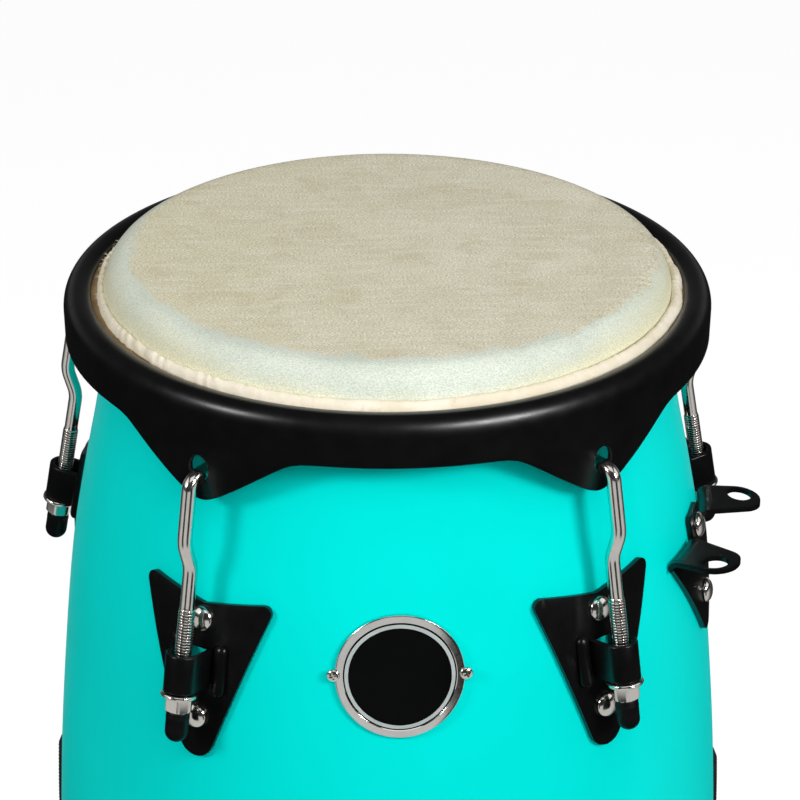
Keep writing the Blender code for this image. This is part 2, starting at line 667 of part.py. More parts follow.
def make_bracket(axis, materials):
    lug = add_empty("bracket_front", axis, rotation=(0, 0, math.radians(BRACKET_AZIMUTH)))
    half = [
        (BRACKET_TONGUE, BRACKET_TONGUE_Z, BRACKET_CORNER),
        (BRACKET_TONGUE, BRACKET_FOLD_Z, 0.0),
        (TAB_INNER, BRACKET_FOLD_Z, 0.0),
        (TAB_OUTER - 2 * TAB_ROUND - TAB_END_FLAT, TAB_END_Z, TAB_ROUND),
        (TAB_OUTER, TAB_END_Z, TAB_ROUND),
        (BRACKET_WING, BRACKET_FOLD_Z, BRACKET_CORNER),
    ]
    mirrored = [(-a, z, r) for a, z, r in reversed(half)]
    outline = rounded(half + [(0.0, BRACKET_POINT_Z, BRACKET_TIP_ROUND)] + mirrored)
    hole_a, hole_z, hole_r = TAB_HOLE
    holes = [circle((side * hole_a, hole_z), hole_r, 16) for side in (-1, 1)]
    a_cuts = [BRACKET_WING * share for share in BRACKET_SCORES]
    bend = BRACKET_BEND * math.pi / 2
    z_cuts = [BRACKET_FOLD_Z + bend * share for share in BEND_SCORES]
    plate = sheet("stand_bracket", [outline] + holes, a_cuts, z_cuts, fold_bracket, PLATE_SHEET)
    mesh = cut_with_bolts(plate, BRACKET_BOLT_HEIGHTS)
    add_part("stand_bracket", mesh, materials["black"], lug)
    backing = backing_plate_mesh("bracket_backing_plate", BRACKET_BOLT_HEIGHTS)
    add_part("bracket_backing_plate", backing, materials["steel"], lug)
    add_bolts("", bolt_mesh(), materials["nickel"], lug, BRACKET_BOLT_HEIGHTS, "bracket")


def make_bumpers(axis, rubber):
    """Rubber pads with level ribs, each a ribbed section swept round the shell."""
    ribs = round(BUMPER_HEIGHT / BUMPER_RIB_PITCH)
    for name, azimuth, top in zip(("left", "right"), BUMPER_AZIMUTHS, BUMPER_TOPS):
        outside, inside = [], []
        for i in range(2 * ribs + 1):
            z = top - BUMPER_HEIGHT * i / (2 * ribs)
            ridge = BUMPER_THICK if i % 2 else BUMPER_THICK - BUMPER_RIB_DEPTH
            outside.append((shell_radius(z) + ridge, z))
        for i in range(BUMPER_BACK_POINTS):
            z = top - BUMPER_HEIGHT * i / (BUMPER_BACK_POINTS - 1)
            inside.append((shell_radius(z) + PLATE_GAP, z))
        bm = bmesh.new()
        section = [bm.verts.new((0, -r, z)) for r, z in outside + inside[::-1]]
        face = bm.faces.new(section)
        span = math.radians(2 * BUMPER_HALF_SPAN)
        bmesh.ops.spin(bm, geom=[face], angle=span, steps=BUMPER_STEPS, axis=(0, 0, 1), cent=(0, 0, 0))
        bmesh.ops.recalc_face_normals(bm, faces=bm.faces)
        start = math.radians(azimuth - BUMPER_HALF_SPAN)
        mesh = mesh_of(f"bumper_{name}", bm)
        add_part(f"bumper_{name}", mesh, rubber, axis, rotation=(0, 0, start))


def main():
    materials = {
        "lacquer": new_material("turquoise_lacquer", (0.0, 0.66, 0.60), 0.30),
        "black": new_material("black_powder_coat", (0.012, 0.012, 0.013), 0.35),
        "nickel": new_material("bright_nickel", (0.72, 0.69, 0.64), 0.18, 1.0),
        "chrome": new_material("badge_metal", (0.66, 0.67, 0.68), 0.25, 1.0),
        "steel": new_material("plain_steel", (0.45, 0.45, 0.46), 0.40, 1.0),
        "skin": new_material("rawhide", (0.62, 0.57, 0.45), 0.55),
        "rubber": new_material("black_rubber", (0.015, 0.015, 0.016), 0.60),
    }
    axis = add_empty("drum_axis", location=(AXIS_X, AXIS_Y, 0))
    make_shell(axis, materials["lacquer"])
    make_foot(axis, materials["rubber"])
    make_head(axis, materials["skin"])
    make_flesh_hoop(axis, materials["steel"])
    make_rim(axis, materials["black"])
    make_lugs(axis, materials)
    make_badge(axis, materials)
    make_bracket(axis, materials)
    make_bumpers(axis, materials["rubber"])


clear_scene()
PARTS = new_collection("conga_drum")
CUTTERS = new_collection("cutters")
main()
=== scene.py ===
"""Looks of the conga drum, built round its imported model.

Metres, +Z up, the badge faces -Y. Azimuths are degrees from the front towards +X.
In a lug's own frame outwards is -Y, and in a rod's own frame Z runs up the rod.
"""

import json
import math
import random

import bmesh
import bpy
from mathutils import Matrix, Vector, noise

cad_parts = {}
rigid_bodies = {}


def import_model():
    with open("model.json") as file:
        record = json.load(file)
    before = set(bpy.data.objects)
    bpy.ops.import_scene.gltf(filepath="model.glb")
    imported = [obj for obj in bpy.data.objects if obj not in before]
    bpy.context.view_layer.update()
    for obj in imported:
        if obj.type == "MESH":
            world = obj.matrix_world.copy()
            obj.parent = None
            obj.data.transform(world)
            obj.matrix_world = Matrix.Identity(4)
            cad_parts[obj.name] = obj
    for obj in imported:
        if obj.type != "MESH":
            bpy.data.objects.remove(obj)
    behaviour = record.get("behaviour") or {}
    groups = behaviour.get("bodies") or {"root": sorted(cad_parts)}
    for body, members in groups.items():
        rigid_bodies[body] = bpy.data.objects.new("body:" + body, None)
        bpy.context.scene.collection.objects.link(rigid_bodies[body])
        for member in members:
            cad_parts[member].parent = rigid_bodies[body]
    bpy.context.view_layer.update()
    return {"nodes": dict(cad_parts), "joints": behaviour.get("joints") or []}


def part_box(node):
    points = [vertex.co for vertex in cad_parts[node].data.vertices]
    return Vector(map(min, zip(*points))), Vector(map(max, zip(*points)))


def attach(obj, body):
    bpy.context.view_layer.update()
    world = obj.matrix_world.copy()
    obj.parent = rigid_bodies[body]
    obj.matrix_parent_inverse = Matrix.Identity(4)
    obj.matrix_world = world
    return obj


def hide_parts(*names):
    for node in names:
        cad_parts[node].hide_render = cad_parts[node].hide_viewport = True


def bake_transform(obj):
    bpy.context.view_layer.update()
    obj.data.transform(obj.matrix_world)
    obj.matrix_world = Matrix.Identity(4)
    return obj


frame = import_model()
JOINTS = {joint["name"]: joint for joint in frame["joints"]}
LUG_COUNT = sum(name.startswith("nut_") for name in JOINTS)

# Camera, fitted to the photograph: its place is relative to the drum's axis
CAMERA_PLACE = (-0.0685, -1.3565, 1.3003)
CAMERA_PITCH, CAMERA_TURN = 26.19, -2.89
CAMERA_LENS, CAMERA_SHIFT = 136.5, 0.01575

# Shell
SHELL_SIDE = (
    (0.006, 0.1150),
    (0.040, 0.1235),
    (0.100, 0.1390),
    (0.180, 0.1560),
    (0.270, 0.1690),
    (0.360, 0.1735),
    (0.430, 0.1713),
    (0.500, 0.1658),
    (0.560, 0.1592),
    (0.600, 0.1520),
    (0.638, 0.1441),
    (0.703, 0.1330),
)
SHELL_WALL = 0.0095
BEARING_EDGE_TOP, BEARING_EDGE_R = 0.7110, 0.1275
SHELL_ROWS, SHELL_STEPS = 96, 192
LEAN_STEP = 0.004
STAVES, STAVE_SEAM, STAVE_SHARE = 22, 0.485, 0.4

# Foot ring
FOOT_WALL, FOOT_ROUND = 0.003, 0.0022

# Head: the skin's own line, the tuck round the hoop and the raw lip that stands inside the rim
SKIN = 0.0016
HEAD_TOP, HEAD_FLAT_R = 0.7137, 0.1235
COLLAR = (
    (0.1278, 0.7125),
    (0.1310, 0.7112),
    (0.1338, 0.7088),
    (0.1360, 0.7050),
    (0.1377, 0.7000),
    (0.1392, 0.6930),
)
HOOP_R, HOOP_Z, HOOP_WRAP_R = 0.1497, 0.6903, 0.0043
HOOP_WRAP_FROM, HOOP_WRAP_TO, HOOP_WRAP_POINTS = 222, 480, 26
HEAD_RINGS, COLLAR_ROWS, HEAD_STEPS = 40, 6, 240
LIP_INNER_R, LIP_Z, LIP_THIN, LIP_PLUMP, LIP_TALL = 0.1382, 0.6962, 0.0019, 0.0011, 0.0047
LIP_LEAN, LIP_PLUMP_AZIMUTH = 0.0006, 50.0
LIP_UNEVEN, LIP_TALL_UNEVEN, LIP_SLIP, LIP_PLUMP_SLIP = 0.0003, 0.0004, 0.0002, 0.0005
LIP_FOLDS, LIP_FOLD, LIP_FOLD_LEAST, LIP_ROUGH = 120, 0.00026, 0.4, 0.00022
LIP_SLANT, LIP_SLANT_DRIFT, LIP_SIDE_STEP, WANDER_STEP = 2.4, 9, 0.37, 3.7
LIP_STEPS, LIP_SIDES = 900, 18
LIP_SEED, FIBRE_SEED = 7, 11
FIBRE_COUNT, FIBRE_GATHERED, FIBRE_AZIMUTH, FIBRE_SPREAD = 130, 0.7, -105, 34
FIBRE_LENGTH, FIBRE_THICK, FIBRE_ROOT, FIBRE_DROOP = (0.0012, 0.0030), (0.00009, 0.00017), 0.0003, 0.0008
FIBRE_SIDE, FIBRE_OUT, FIBRE_ALONG, FIBRE_RISE = (0.02, 0.24), (0.2, 1.0), (-1.0, 1.0), (0.0, 0.7)
FIBRE_TAPER = ((0.0, 1.0), (0.5, 0.8), (1.0, 0.25))

# Hide: its tones, the pale shoulder's border, where the shoulder is warm, and the painted crease shade at
# the lip
HIDE_FLAT = ((0.685, 0.645, 0.485), (0.755, 0.718, 0.562))
HIDE_SHOULDER = ((0.605, 0.660, 0.570), (0.690, 0.745, 0.645))
HIDE_YELLOW, HIDE_STAIN, HIDE_STREAK = (0.715, 0.668, 0.460), (0.630, 0.560, 0.385), (0.800, 0.770, 0.630)
HIDE_WARM, HIDE_CREASE_SHADE = (0.750, 0.735, 0.530), (0.42, 0.29, 0.15)
YELLOW_FROM, YELLOW_TO, YELLOW_MOST = -0.12, 0.06, 0.6
SHOULDER_FROM, SHOULDER_TO, SHOULDER_RAGGED, SHOULDER_PLAIN = 0.1268, 0.1322, 0.0045, 0.5
WARM_LOW, WARM_HIGH, WARM_RAGGED = 0.6905, 0.7045, 0.5
WARM_MIDDLE, WARM_REACH, WARM_RISE = 0.01, 0.125, 0.0115
CREASE_HEIGHTS, CREASE_LEAST, CREASE_MOST = (0.6968, 0.6988, 0.6990, 0.7006), 0.2, 0.6
CREASE_RAGGED, HIDE_SPECK, HIDE_ROUGH = 0.12, (0.56, 1.32), (0.50, 0.66)

# Rim
RIM_SHEET = 0.0025
RIM_CREST_R, RIM_CREST_Z = 0.1512, 0.6994
RIM_INNER_R, RIM_INNER_Z = 0.1447, 0.6962
RIM_WIDEST_R, RIM_WIDEST_Z = 0.1582, 0.6905
RIM_EDGE_R, RIM_EDGE_Z = 0.1574, 0.6752
EAR_TIP_Z, EAR_SLOPE = 0.6462, 0.72
EAR_TIP_ROUND, EAR_TOP_ROUND = 0.0075, 0.004
EAR_HOLE_Z, EAR_HOLE_R, EAR_HOLE_TALL, EAR_HOLE_FLARE = 0.6621, 0.0049, 1.3, 0.0006
EAR_HOLE_ROUND, EAR_CUTTER_R, EAR_CUTTER_END = (0.3, 0.4), 0.0103, 0.010
EAR_SPAN, EAR_STEPS, PLAIN_STEPS = 17.0, 72, 22

# Hooks
ROD_R, ROD_SIDES = 0.0035, 24
ROD_LOWER_END = -0.0230
HOOK_JOG = (0.0614, 0.0739, 0.0066)
HOOK_REACH = (0.1053, -0.0078, 0.0028)
HOOK_BENDS = (0.016, 0.016, 0.0065)
HOOK_TIP = ((0.0006, 0.93), (0.0010, 0.80), (0.0012, 0.62))
THREAD_FROM, THREAD_TO, THREAD_RUNOUT = -0.0125, 0.0415, 0.0022
THREAD_PITCH, THREAD_ROOT_R, THREAD_CREST_R = 0.001411, 0.00308, 0.00398
# Below THREAD_SHADE_DEPTH, a share of the way from the thread's root to its crest, the grooves carry
# painted shade
THREAD_ROWS, THREAD_VEE, THREAD_SHADE_DEPTH = 12, 0.55, 0.62

# Nut, cap and sleeve: the hexagon's rows are how far it is grown and turned off, and the height
GAP = 0.0003
NUT_FLANGE_R, NUT_FLANGE_H, NUT_FLANGE_ROUND = 0.0092, 0.0028, 0.0013
NUT_HEX_R, NUT_HEX_H, NUT_CORNER_R = 0.0070, 0.0068, 0.00685
NUT_BORE_R, NUT_LEAD_TOP, NUT_LEAD_LOW, NUT_STEPS = 0.0041, 0.0004, 0.0005, 96
NUT_HEX_TOP = -GAP - NUT_FLANGE_H
NUT_LOW, NUT_CHAMFER = NUT_HEX_TOP - NUT_HEX_H, 0.0007
NUT_HEX_ROWS = (
    (0.0005, 0.0, -GAP - 2 * NUT_FLANGE_ROUND),
    (0.0001, 0.0, NUT_HEX_TOP - 0.0004),
    (0.0, 0.0, NUT_HEX_TOP - 0.0010),
    (0.0, 0.0, NUT_LOW + NUT_CHAMFER),
    (0.0, 0.0004, NUT_LOW + NUT_CHAMFER / 3),
    (0.0, 0.0009, NUT_LOW),
)
CAP_R, CAP_LENGTH, CAP_EDGE = 0.0056, 0.0158, 0.0007
CAP_BAND = ((0.0026, 0.0), (0.0030, 0.0001), (0.0036, 0.0001), (0.0040, 0.0))
SLEEVE_LENGTH, SLEEVE_R, SLEEVE_WALL, SLEEVE_EDGE = 0.0190, 0.0081, 0.0026, 0.0007
RIDGE_AT, RIDGE_HALF, RIDGE_TALL, RIDGE_LENGTH, RIDGE_ROOT = 0.0124, 0.0034, 0.0028, 0.0260, 0.0003
RIDGE_ENDS = ((0.0, 0.08), (0.012, 0.42), (0.04, 0.72), (0.08, 0.92), (0.14, 1.0))

# Side plates and bracket
PLATE_SHEET, PLATE_GAP = 0.0025, 0.0006
PLATE_WING = (0.0370, 0.5980)
PLATE_NOTCH_Z, PLATE_POINT_Z = 0.5912, 0.4945
PLATE_WING_ROUND, PLATE_NOTCH_ROUND, PLATE_TIP_ROUND = 0.0040, 0.0030, 0.0095
PLATE_BOLT_HEIGHTS = (0.5835, 0.5345)
PLATE_CELL, PLATE_EDGE = 0.0030, 0.0007
BEVEL_SEGMENTS, BEVEL_ANGLE = 3, 35
WINDOW_HALF, WINDOW_DROP, WINDOW_ROUND = 0.0058, 0.0018, 0.0006
BRACKET_FOLD_Z, BRACKET_BEND = 0.5795, 0.0050
BRACKET_WING, BRACKET_POINT_Z, BRACKET_TIP_ROUND = 0.0405, 0.5215, 0.0070
BRACKET_TONGUE, BRACKET_TONGUE_Z, BRACKET_CORNER = 0.0100, 0.5920, 0.0025
TAB_INNER, TAB_OUTER, TAB_END_Z, TAB_ROUND, TAB_END_FLAT = 0.0120, 0.0470, 0.6140, 0.0104, 0.0002
TAB_HOLE = (0.0365, 0.6035, 0.0063)
BRACKET_BOLT_HEIGHTS = (0.5835, 0.5475)

# Bolts, badge and screws: a bolt or screw is its head's radius, height, skirt and undercut, and its shank
BOLT = (0.0062, 0.0040, 0.0006, 0.0003, 0.0030, 0.0180)
BADGE_Z, BADGE_R, BADGE_SHEET = 0.5681, 0.0300, 0.0016
BADGE_LINE_R, BADGE_RING_R, BADGE_FACE_R = 0.0262, 0.0255, 0.0238
BADGE_ROLL, BADGE_STEP, BADGE_SINKS = 0.0004, 0.0003, (0.0003, 0.0002, 0.00025)
BADGE_STEPS, BADGE_WIDE, BADGE_FINE, BADGE_COARSE = 120, 0.005, 4, 12
SCREW_HEAD_H = 0.0018
SCREW = (0.0031, SCREW_HEAD_H, 0.0003, 0.0002, 0.0013, 0.0070)
SCREW_SPREAD, CROSS_TURN, CROSS_SIZE, CROSS_LIFT = 0.0306, 0.35, (0.0036, 0.0009, 0.0030), 0.0004

# Studio: what gloss sees of the room and floor, whose gaps are an azimuth, a half width and a softness
STUDIO_DARK, STUDIO_PALE = 0.02, 0.20
BACKDROP_FROM, BACKDROP_TO, BACKDROP_TOP, BACKDROP_END = 0.3, 0.8, 0.22, 0.38
FLOOR_GAPS = ((30.0, 14.0, 2.5), (-36.0, 12.0, 2.5))
FLOOR_GAP_FROM, FLOOR_GAP_TO = 0.9, 1.4
FLOOR_MIRRORED, FLOOR_SIDE, FLOOR_REAR = 0.72, 0.05, 1.0
FLOOR_SIDE_FROM, FLOOR_SIDE_TO, FLOOR_REAR_FROM, FLOOR_REAR_TO = 70.0, 110.0, 140.0, 156.0
FLOOR_DULL = 0.06
ROOM_FILL = 0.27
FLOOR_HALF, FLOOR_Z = 40.0, -0.0005
FLOOR_MATTE, FLOOR_GLOW = 0.30, 0.85

# Lamps, aimed at the upper drum: azimuth, elevation, distance, size, power, and whose gloss sees them
LAMP_AIM = 0.65
LAMPS = {
    "softbox_right": (41, 27, 2.0, (0.40, 0.40), 20.5, "all"),
    "softbox_left": (-58, 27, 2.0, (0.36, 0.36), 13, "all"),
    "front_fill": (6, 38, 2.5, (2.0, 2.0), 25, "none"),
    "strip_right": (28, 27, 2.0, (0.45, 0.40), 17.5, "rim"),
    "panel_left": (-80, 32, 2.0, (1.3, 1.3), 5, "metal"),
    "panel_right": (80, 32, 2.0, (1.3, 1.3), 5, "metal"),
    "panel_top": (0, 62, 2.0, (1.5, 1.0), 4.5, "metal"),
}

# Bumpers
BUMPER_THICK, BUMPER_RIB_PITCH, BUMPER_RIB_DEPTH = 0.0052, 0.0022, 0.0007
BUMPER_END, BUMPER_EDGE, BUMPER_LEAST = 0.003, 0.002, 0.25
BUMPER_STEPS, RIB_ROWS = 40, 6


def middle_of(node):
    low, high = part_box(node)
    return (low + high) / 2


AXIS = Vector((*middle_of("shell").xy, 0))


def azimuth_of(point):
    """The azimuth, in radians, of a point seen from the drum's axis."""
    from_axis = Vector(point) - AXIS
    return math.atan2(from_axis.x, -from_axis.y)


def lug_azimuth(number):
    return azimuth_of(JOINTS[f"nut_{number}_turn"]["pos_m"])


def facing(azimuth):
    """A frame on the drum's axis, turned so that its -Y points along the azimuth."""
    return Matrix.Translation(AXIS) @ Matrix.Rotation(azimuth, 4, "Z")


def smooth_value(points, x):
    """The value at x of a smooth curve through (x, value) points in rising order."""
    last = len(points) - 1
    i = min(max(sum(point[0] < x for point in points), 1), last)

    def slope(k):
        low, high = points[max(k - 1, 0)], points[min(k + 1, last)]
        return (high[1] - low[1]) / (high[0] - low[0])

    (x0, y0), (x1, y1) = points[i - 1], points[i]
    width = x1 - x0
    t = (x - x0) / width
    start = (2 * t**3 - 3 * t**2 + 1) * y0 + (t**3 - 2 * t**2 + t) * slope(i - 1) * width
    end = (3 * t**2 - 2 * t**3) * y1 + (t**3 - t**2) * slope(i) * width
    return start + end


def shell_radius(z):
    return smooth_value(SHELL_SIDE, z)


def shell_lean(z):
    drop = shell_radius(z - LEAN_STEP) - shell_radius(z + LEAN_STEP)
    return math.atan(drop / (2 * LEAN_STEP))


def on_shell(a, z, off):
    """The point at arc length a and height z, off the shell's outer side by off, in a frame facing -Y."""
    radius = shell_radius(z)
    return polar(radius + off, a / radius, z)


def facing_out(z, off, a=0.0):
    """The frame off the shell at height z whose Z axis is the outward normal, for a lug facing -Y."""
    turn = Matrix.Rotation(a / shell_radius(z), 4, "Z")
    lean = Matrix.Rotation(math.pi / 2 - shell_lean(z), 4, "X")
    return Matrix.Translation(on_shell(a, z, 0)) @ turn @ lean @ Matrix.Translation((0, 0, off))


def spaced(first, last, count):
    """That many numbers, evenly spaced from first to last."""
    return [first + (last - first) * i / (count - 1) for i in range(count)]


def whole_turn(count):
    """That many angles, evenly spaced round a turn."""
    return [2 * math.pi * k / count for k in range(count)]


def polar(radius, angle, z):
    """The point at this radius and height, turned by the angle from -Y towards +X."""
    return Vector((radius * math.sin(angle), -radius * math.cos(angle), z))


def arc(center, radius, start, stop, count):
    """Points from angle start to stop, in degrees; radius is one number, or one for each axis."""
    across, up = radius if isinstance(radius, tuple) else (radius, radius)
    angles = [math.radians(degrees) for degrees in spaced(start, stop, count)]
    return [(center[0] + across * math.cos(t), center[1] + up * math.sin(t)) for t in angles]


def rounded(corners, count=9, closed=True):
    """A line through (x, y, radius) corners, with an arc of that radius at each."""
    points = []
    for i, (x, y, radius) in enumerate(corners):
        ends = not closed and i in (0, len(corners) - 1)
        if ends or radius == 0:
            points.append(Vector((x, y)))
            continue
        corner = Vector((x, y))
        back = (Vector(corners[i - 1][:2]) - corner).normalized()
        ahead = (Vector(corners[(i + 1) % len(corners)][:2]) - corner).normalized()
        half = back.angle(ahead) / 2
        reach = radius / math.tan(half)
        center = corner + (back + ahead).normalized() * (radius / math.sin(half))
        first = corner + back * reach - center
        turn = first.angle_signed(corner + ahead * reach - center)
        for k in range(count):
            points.append(center + Matrix.Rotation(-turn * k / (count - 1), 2) @ first)
    return points


def circle(center, radius, count):
    return arc(center, radius, 0, 360 - 360 / count, count)


def finish_mesh(bm, name, smooth_angle):
    bmesh.ops.remove_doubles(bm, verts=bm.verts, dist=1e-6)
    bmesh.ops.recalc_face_normals(bm, faces=bm.faces)
    mesh = bpy.data.meshes.new(name)
    bm.to_mesh(mesh)
    bm.free()
    mesh.shade_smooth()
    mesh.set_sharp_from_angle(angle=math.radians(smooth_angle))
    return mesh


def add_surface(bm, rows, wrap_rows=False, caps=False):
    """Quads over rows of points, each row a ring; the last row joins the first, or both ends are capped."""
    grid = [[bm.verts.new(point) for point in row] for row in rows]
    for i in range(len(grid) - (not wrap_rows)):
        row, after = grid[i], grid[(i + 1) % len(grid)]
        for j in range(len(row)):
            k = (j + 1) % len(row)
            bm.faces.new((row[j], row[k], after[k], after[j]))
    if caps:
        bm.faces.new(grid[0])
        bm.faces.new(grid[-1])


def surface(name, rows, wrap_rows=False, caps=False, smooth_angle=40):
    bm = bmesh.new()
    add_surface(bm, rows, wrap_rows, caps)
    return finish_mesh(bm, name, smooth_angle)


def ring(radius, z, steps):
    return [polar(radius, t, z) for t in whole_turn(steps)]


def turned(name, profile, steps, closed=False):
    """A mesh of the profile's (radius, height) points turned round Z."""
    return surface(name, [ring(r, z, steps) for r, z in profile], wrap_rows=closed)


def add_object(name, data):
    obj = bpy.data.objects.new(name, data)
    bpy.context.scene.collection.objects.link(obj)
    return obj


def place(name, mesh, material, matrix):
    """An object of the mesh at the matrix, with the material where the mesh has none yet."""
    obj = add_object(name, mesh)
    if not mesh.materials:
        mesh.materials.append(material)
    obj.matrix_world = matrix
    return obj


def stand_for(obj, node, body="shell_body"):
    """The piece rides on the body and hides the node."""
    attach(obj, body)
    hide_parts(node)


def evaluated(obj):
    """The object's mesh with its modifiers applied; the object is removed."""
    bpy.context.view_layer.update()
    graph = bpy.context.evaluated_depsgraph_get()
    mesh = bpy.data.meshes.new_from_object(obj.evaluated_get(graph))
    mesh.name = obj.name
    bpy.data.objects.remove(obj, do_unlink=True)
    return mesh


def combined(obj, others, operation, smooth_angle, overlap=False):
    """The object's mesh after the others are cut from it or joined to it; all the objects are removed."""
    for other in others:
        modifier = obj.modifiers.new("Boolean", "BOOLEAN")
        modifier.operation = operation
        modifier.object = other
        modifier.use_self = overlap
    mesh = evaluated(obj)
    for other in others:
        bpy.data.objects.remove(other, do_unlink=True)
    mesh.set_sharp_from_angle(angle=math.radians(smooth_angle))
    return mesh


def bevel(obj, width):
    modifier = obj.modifiers.new("Bevel", "BEVEL")
    modifier.width = width
    modifier.segments = BEVEL_SEGMENTS
    modifier.limit_method = "ANGLE"
    modifier.angle_limit = math.radians(BEVEL_ANGLE)


# Materials: most of a noise lies between its limits
NOISE_LIMITS = (0.3, 0.7)


def feed(node, key, value):
    """Give a node's input its value: a socket to link, a number, a vector, or a colour without alpha."""
    socket = node.inputs[key]
    if isinstance(value, bpy.types.NodeSocket):
        node.id_data.links.new(value, socket)
    else:
        socket.default_value = (*value, 1.0) if socket.type == "RGBA" else value


def add_node(kind, inputs, tree=None, **settings):
    """A shader node, in the tree of the sockets that its inputs link, or in the given tree."""
    linked = [value.id_data for value in inputs.values() if isinstance(value, bpy.types.NodeSocket)]
    node = (tree or linked[0]).nodes.new("ShaderNode" + kind)
    for key, value in settings.items():
        setattr(node, key, value)
    for key, value in inputs.items():
        feed(node, key, value)
    return node


def principled(name, **values):
    """A material, its Principled shader with uniform values on its own sockets, and the coordinates."""
    material = bpy.data.materials.new(name)
    material.use_nodes = True
    shader = material.node_tree.nodes["Principled BSDF"]
    for key, value in values.items():
        feed(shader, key.replace("_", " ").title().replace("Ior", "IOR"), value)
    return material, shader, coordinates(material.node_tree)


def coordinates(tree, kind="Object"):
    return add_node("TexCoord", {}, tree).outputs[kind]


def light_path(tree, kind):
    """1 where the ray is of that kind, and 0 elsewhere."""
    return add_node("LightPath", {}, tree).outputs[f"Is {kind} Ray"]


def noise_at(where, scale, detail=3.0, roughness=0.5, distortion=0.0):
    values = {"Scale": scale, "Detail": detail, "Roughness": roughness, "Distortion": distortion}
    return add_node("TexNoise", {"Vector": where, **values}).outputs["Fac"]


def remap(value, low, high, to_low=0.0, to_high=1.0):
    inputs = {"Value": value, "From Min": low, "From Max": high, "To Min": to_low, "To Max": to_high}
    return add_node("MapRange", inputs, interpolation_type="SMOOTHSTEP").outputs["Result"]


def mix_color(share, first, second, blend="MIX"):
    """First where share is 0 and second where it is 1; each is a socket or a colour."""
    return add_node("Mix", {0: share, 6: first, 7: second}, data_type="RGBA", blend_type=blend).outputs[2]


def calculate(operation, first, second):
    return add_node("Math", {0: first, 1: second}, operation=operation).outputs[0]


def bump(shader, height, distance, strength):
    node = add_node("Bump", {"Height": height, "Distance": distance, "Strength": strength})
    feed(shader, "Normal", node.outputs["Normal"])


def scaled(where, factors):
    """The coordinates multiplied along each axis, so that a noise is drawn out where a factor is small."""
    return add_node("VectorMath", {0: where, 1: factors}, operation="MULTIPLY").outputs[0]


def shaded(color, share):
    return tuple(part * share for part in color)


def mottled(name, tones, drift, gloss, tooth, drawn=None, **values):
    """A material whose tone and gloss wander and whose surface has a fine tooth, which may be drawn out.

    Drift is the scale, detail and limits of the noise that mixes the two tones. Gloss is a scale and the
    two roughnesses, and tooth is a scale, a depth and a strength.
    """
    material, shader, where = principled(name, **values)
    scale, detail, low, high = drift
    tone = mix_color(remap(noise_at(where, scale, detail), low, high), *tones)
    feed(shader, "Base Color", tone)
    scale, smooth, rough = gloss
    shine = remap(noise_at(where, scale), *NOISE_LIMITS, smooth, rough)
    feed(shader, "Roughness", shine)
    scale, depth, strength = tooth
    fine = scaled(where, drawn) if drawn else where
    bump(shader, noise_at(fine, scale, 2.0), depth, strength)
    return material


def lacquer():
    """Satin turquoise lacquer: faint drift of the tone and a very fine orange peel."""
    tones = (0.0, 0.747, 0.680), (0.0, 0.775, 0.708)
    drift, gloss, tooth = (9.0, 3.0, 0.35, 0.65), (60.0, 0.40, 0.47), (700.0, 0.00002, 0.35)
    return mottled("turquoise_lacquer", tones, drift, gloss, tooth, specular_ior_level=0.015)


def raw_wood():
    """Bare staves inside the shell, with grain along them and a dark line at each joint."""
    dark, light = (0.34, 0.215, 0.115), (0.52, 0.36, 0.21)
    other, glue = (0.40, 0.27, 0.155), (0.10, 0.06, 0.035)
    material, shader, where = principled("raw_wood", roughness=0.72, specular_ior_level=0.25)
    parts = add_node("SeparateXYZ", {"Vector": where}).outputs
    turn = calculate("ARCTAN2", parts["X"], parts["Y"])
    along = calculate("MULTIPLY", turn, STAVES / (2 * math.pi))
    off_middle = calculate("SUBTRACT", calculate("FRACT", along, 0.0), 0.5)
    seam = remap(calculate("ABSOLUTE", off_middle, 0.0), STAVE_SEAM, 0.5)
    number = calculate("FLOOR", along, 0.0)
    stave = add_node("TexWhiteNoise", {"W": number}, noise_dimensions="1D").outputs["Value"]
    grain = noise_at(scaled(where, (1.0, 1.0, 0.06)), 170.0, 5.0, 0.6, 0.4)
    color = mix_color(remap(grain, *NOISE_LIMITS), dark, light)
    color = mix_color(calculate("MULTIPLY", stave, STAVE_SHARE), color, other)
    color = mix_color(seam, color, glue)
    feed(shader, "Base Color", color)
    bump(shader, grain, 0.0002, 0.5)
    return material


def black_coat(name, color, roughness, specular):
    """Black powder coat with a fine orange peel and faint uneven gloss."""
    tones = shaded(color, 0.8), shaded(color, 1.25)
    drift, gloss = (40.0, 3.0, 0.35, 0.65), (120.0, roughness - 0.03, roughness + 0.03)
    return mottled(name, tones, drift, gloss, (900.0, 0.00003, 0.4), specular_ior_level=specular)


def rubber(name, color, roughness):
    """Dull black rubber with a fine tooth and a little grey bloom."""
    tones = color, shaded(color, 1.7)
    drift, gloss = (90.0, 4.0, 0.45, 0.75), (250.0, roughness - 0.06, roughness + 0.06)
    return mottled(name, tones, drift, gloss, (2200.0, 0.00005, 0.4), specular_ior_level=0.25)


def metal(name, color, roughness, drawn=(1.0, 1.0, 0.08)):
    """Plated metal: faint drawing lines, uneven gloss and a slightly clouded tone."""
    tones = shaded(color, 0.94), color
    drift, gloss = (160.0, 3.0, 0.35, 0.65), (420.0, roughness * 0.8, roughness * 1.25)
    return mottled(name, tones, drift, gloss, (2600.0, 0.00001, 0.3), drawn, metallic=1.0)


def enamel(name, color, roughness, specular):
    """Smooth badge enamel with a faint drift of tone and gloss."""
    tones = shaded(color, 0.9), color
    drift, gloss = (110.0, 3.0, 0.35, 0.65), (300.0, roughness * 0.85, roughness * 1.15)
    return mottled(name, tones, drift, gloss, (1800.0, 0.000008, 0.3), specular_ior_level=specular)


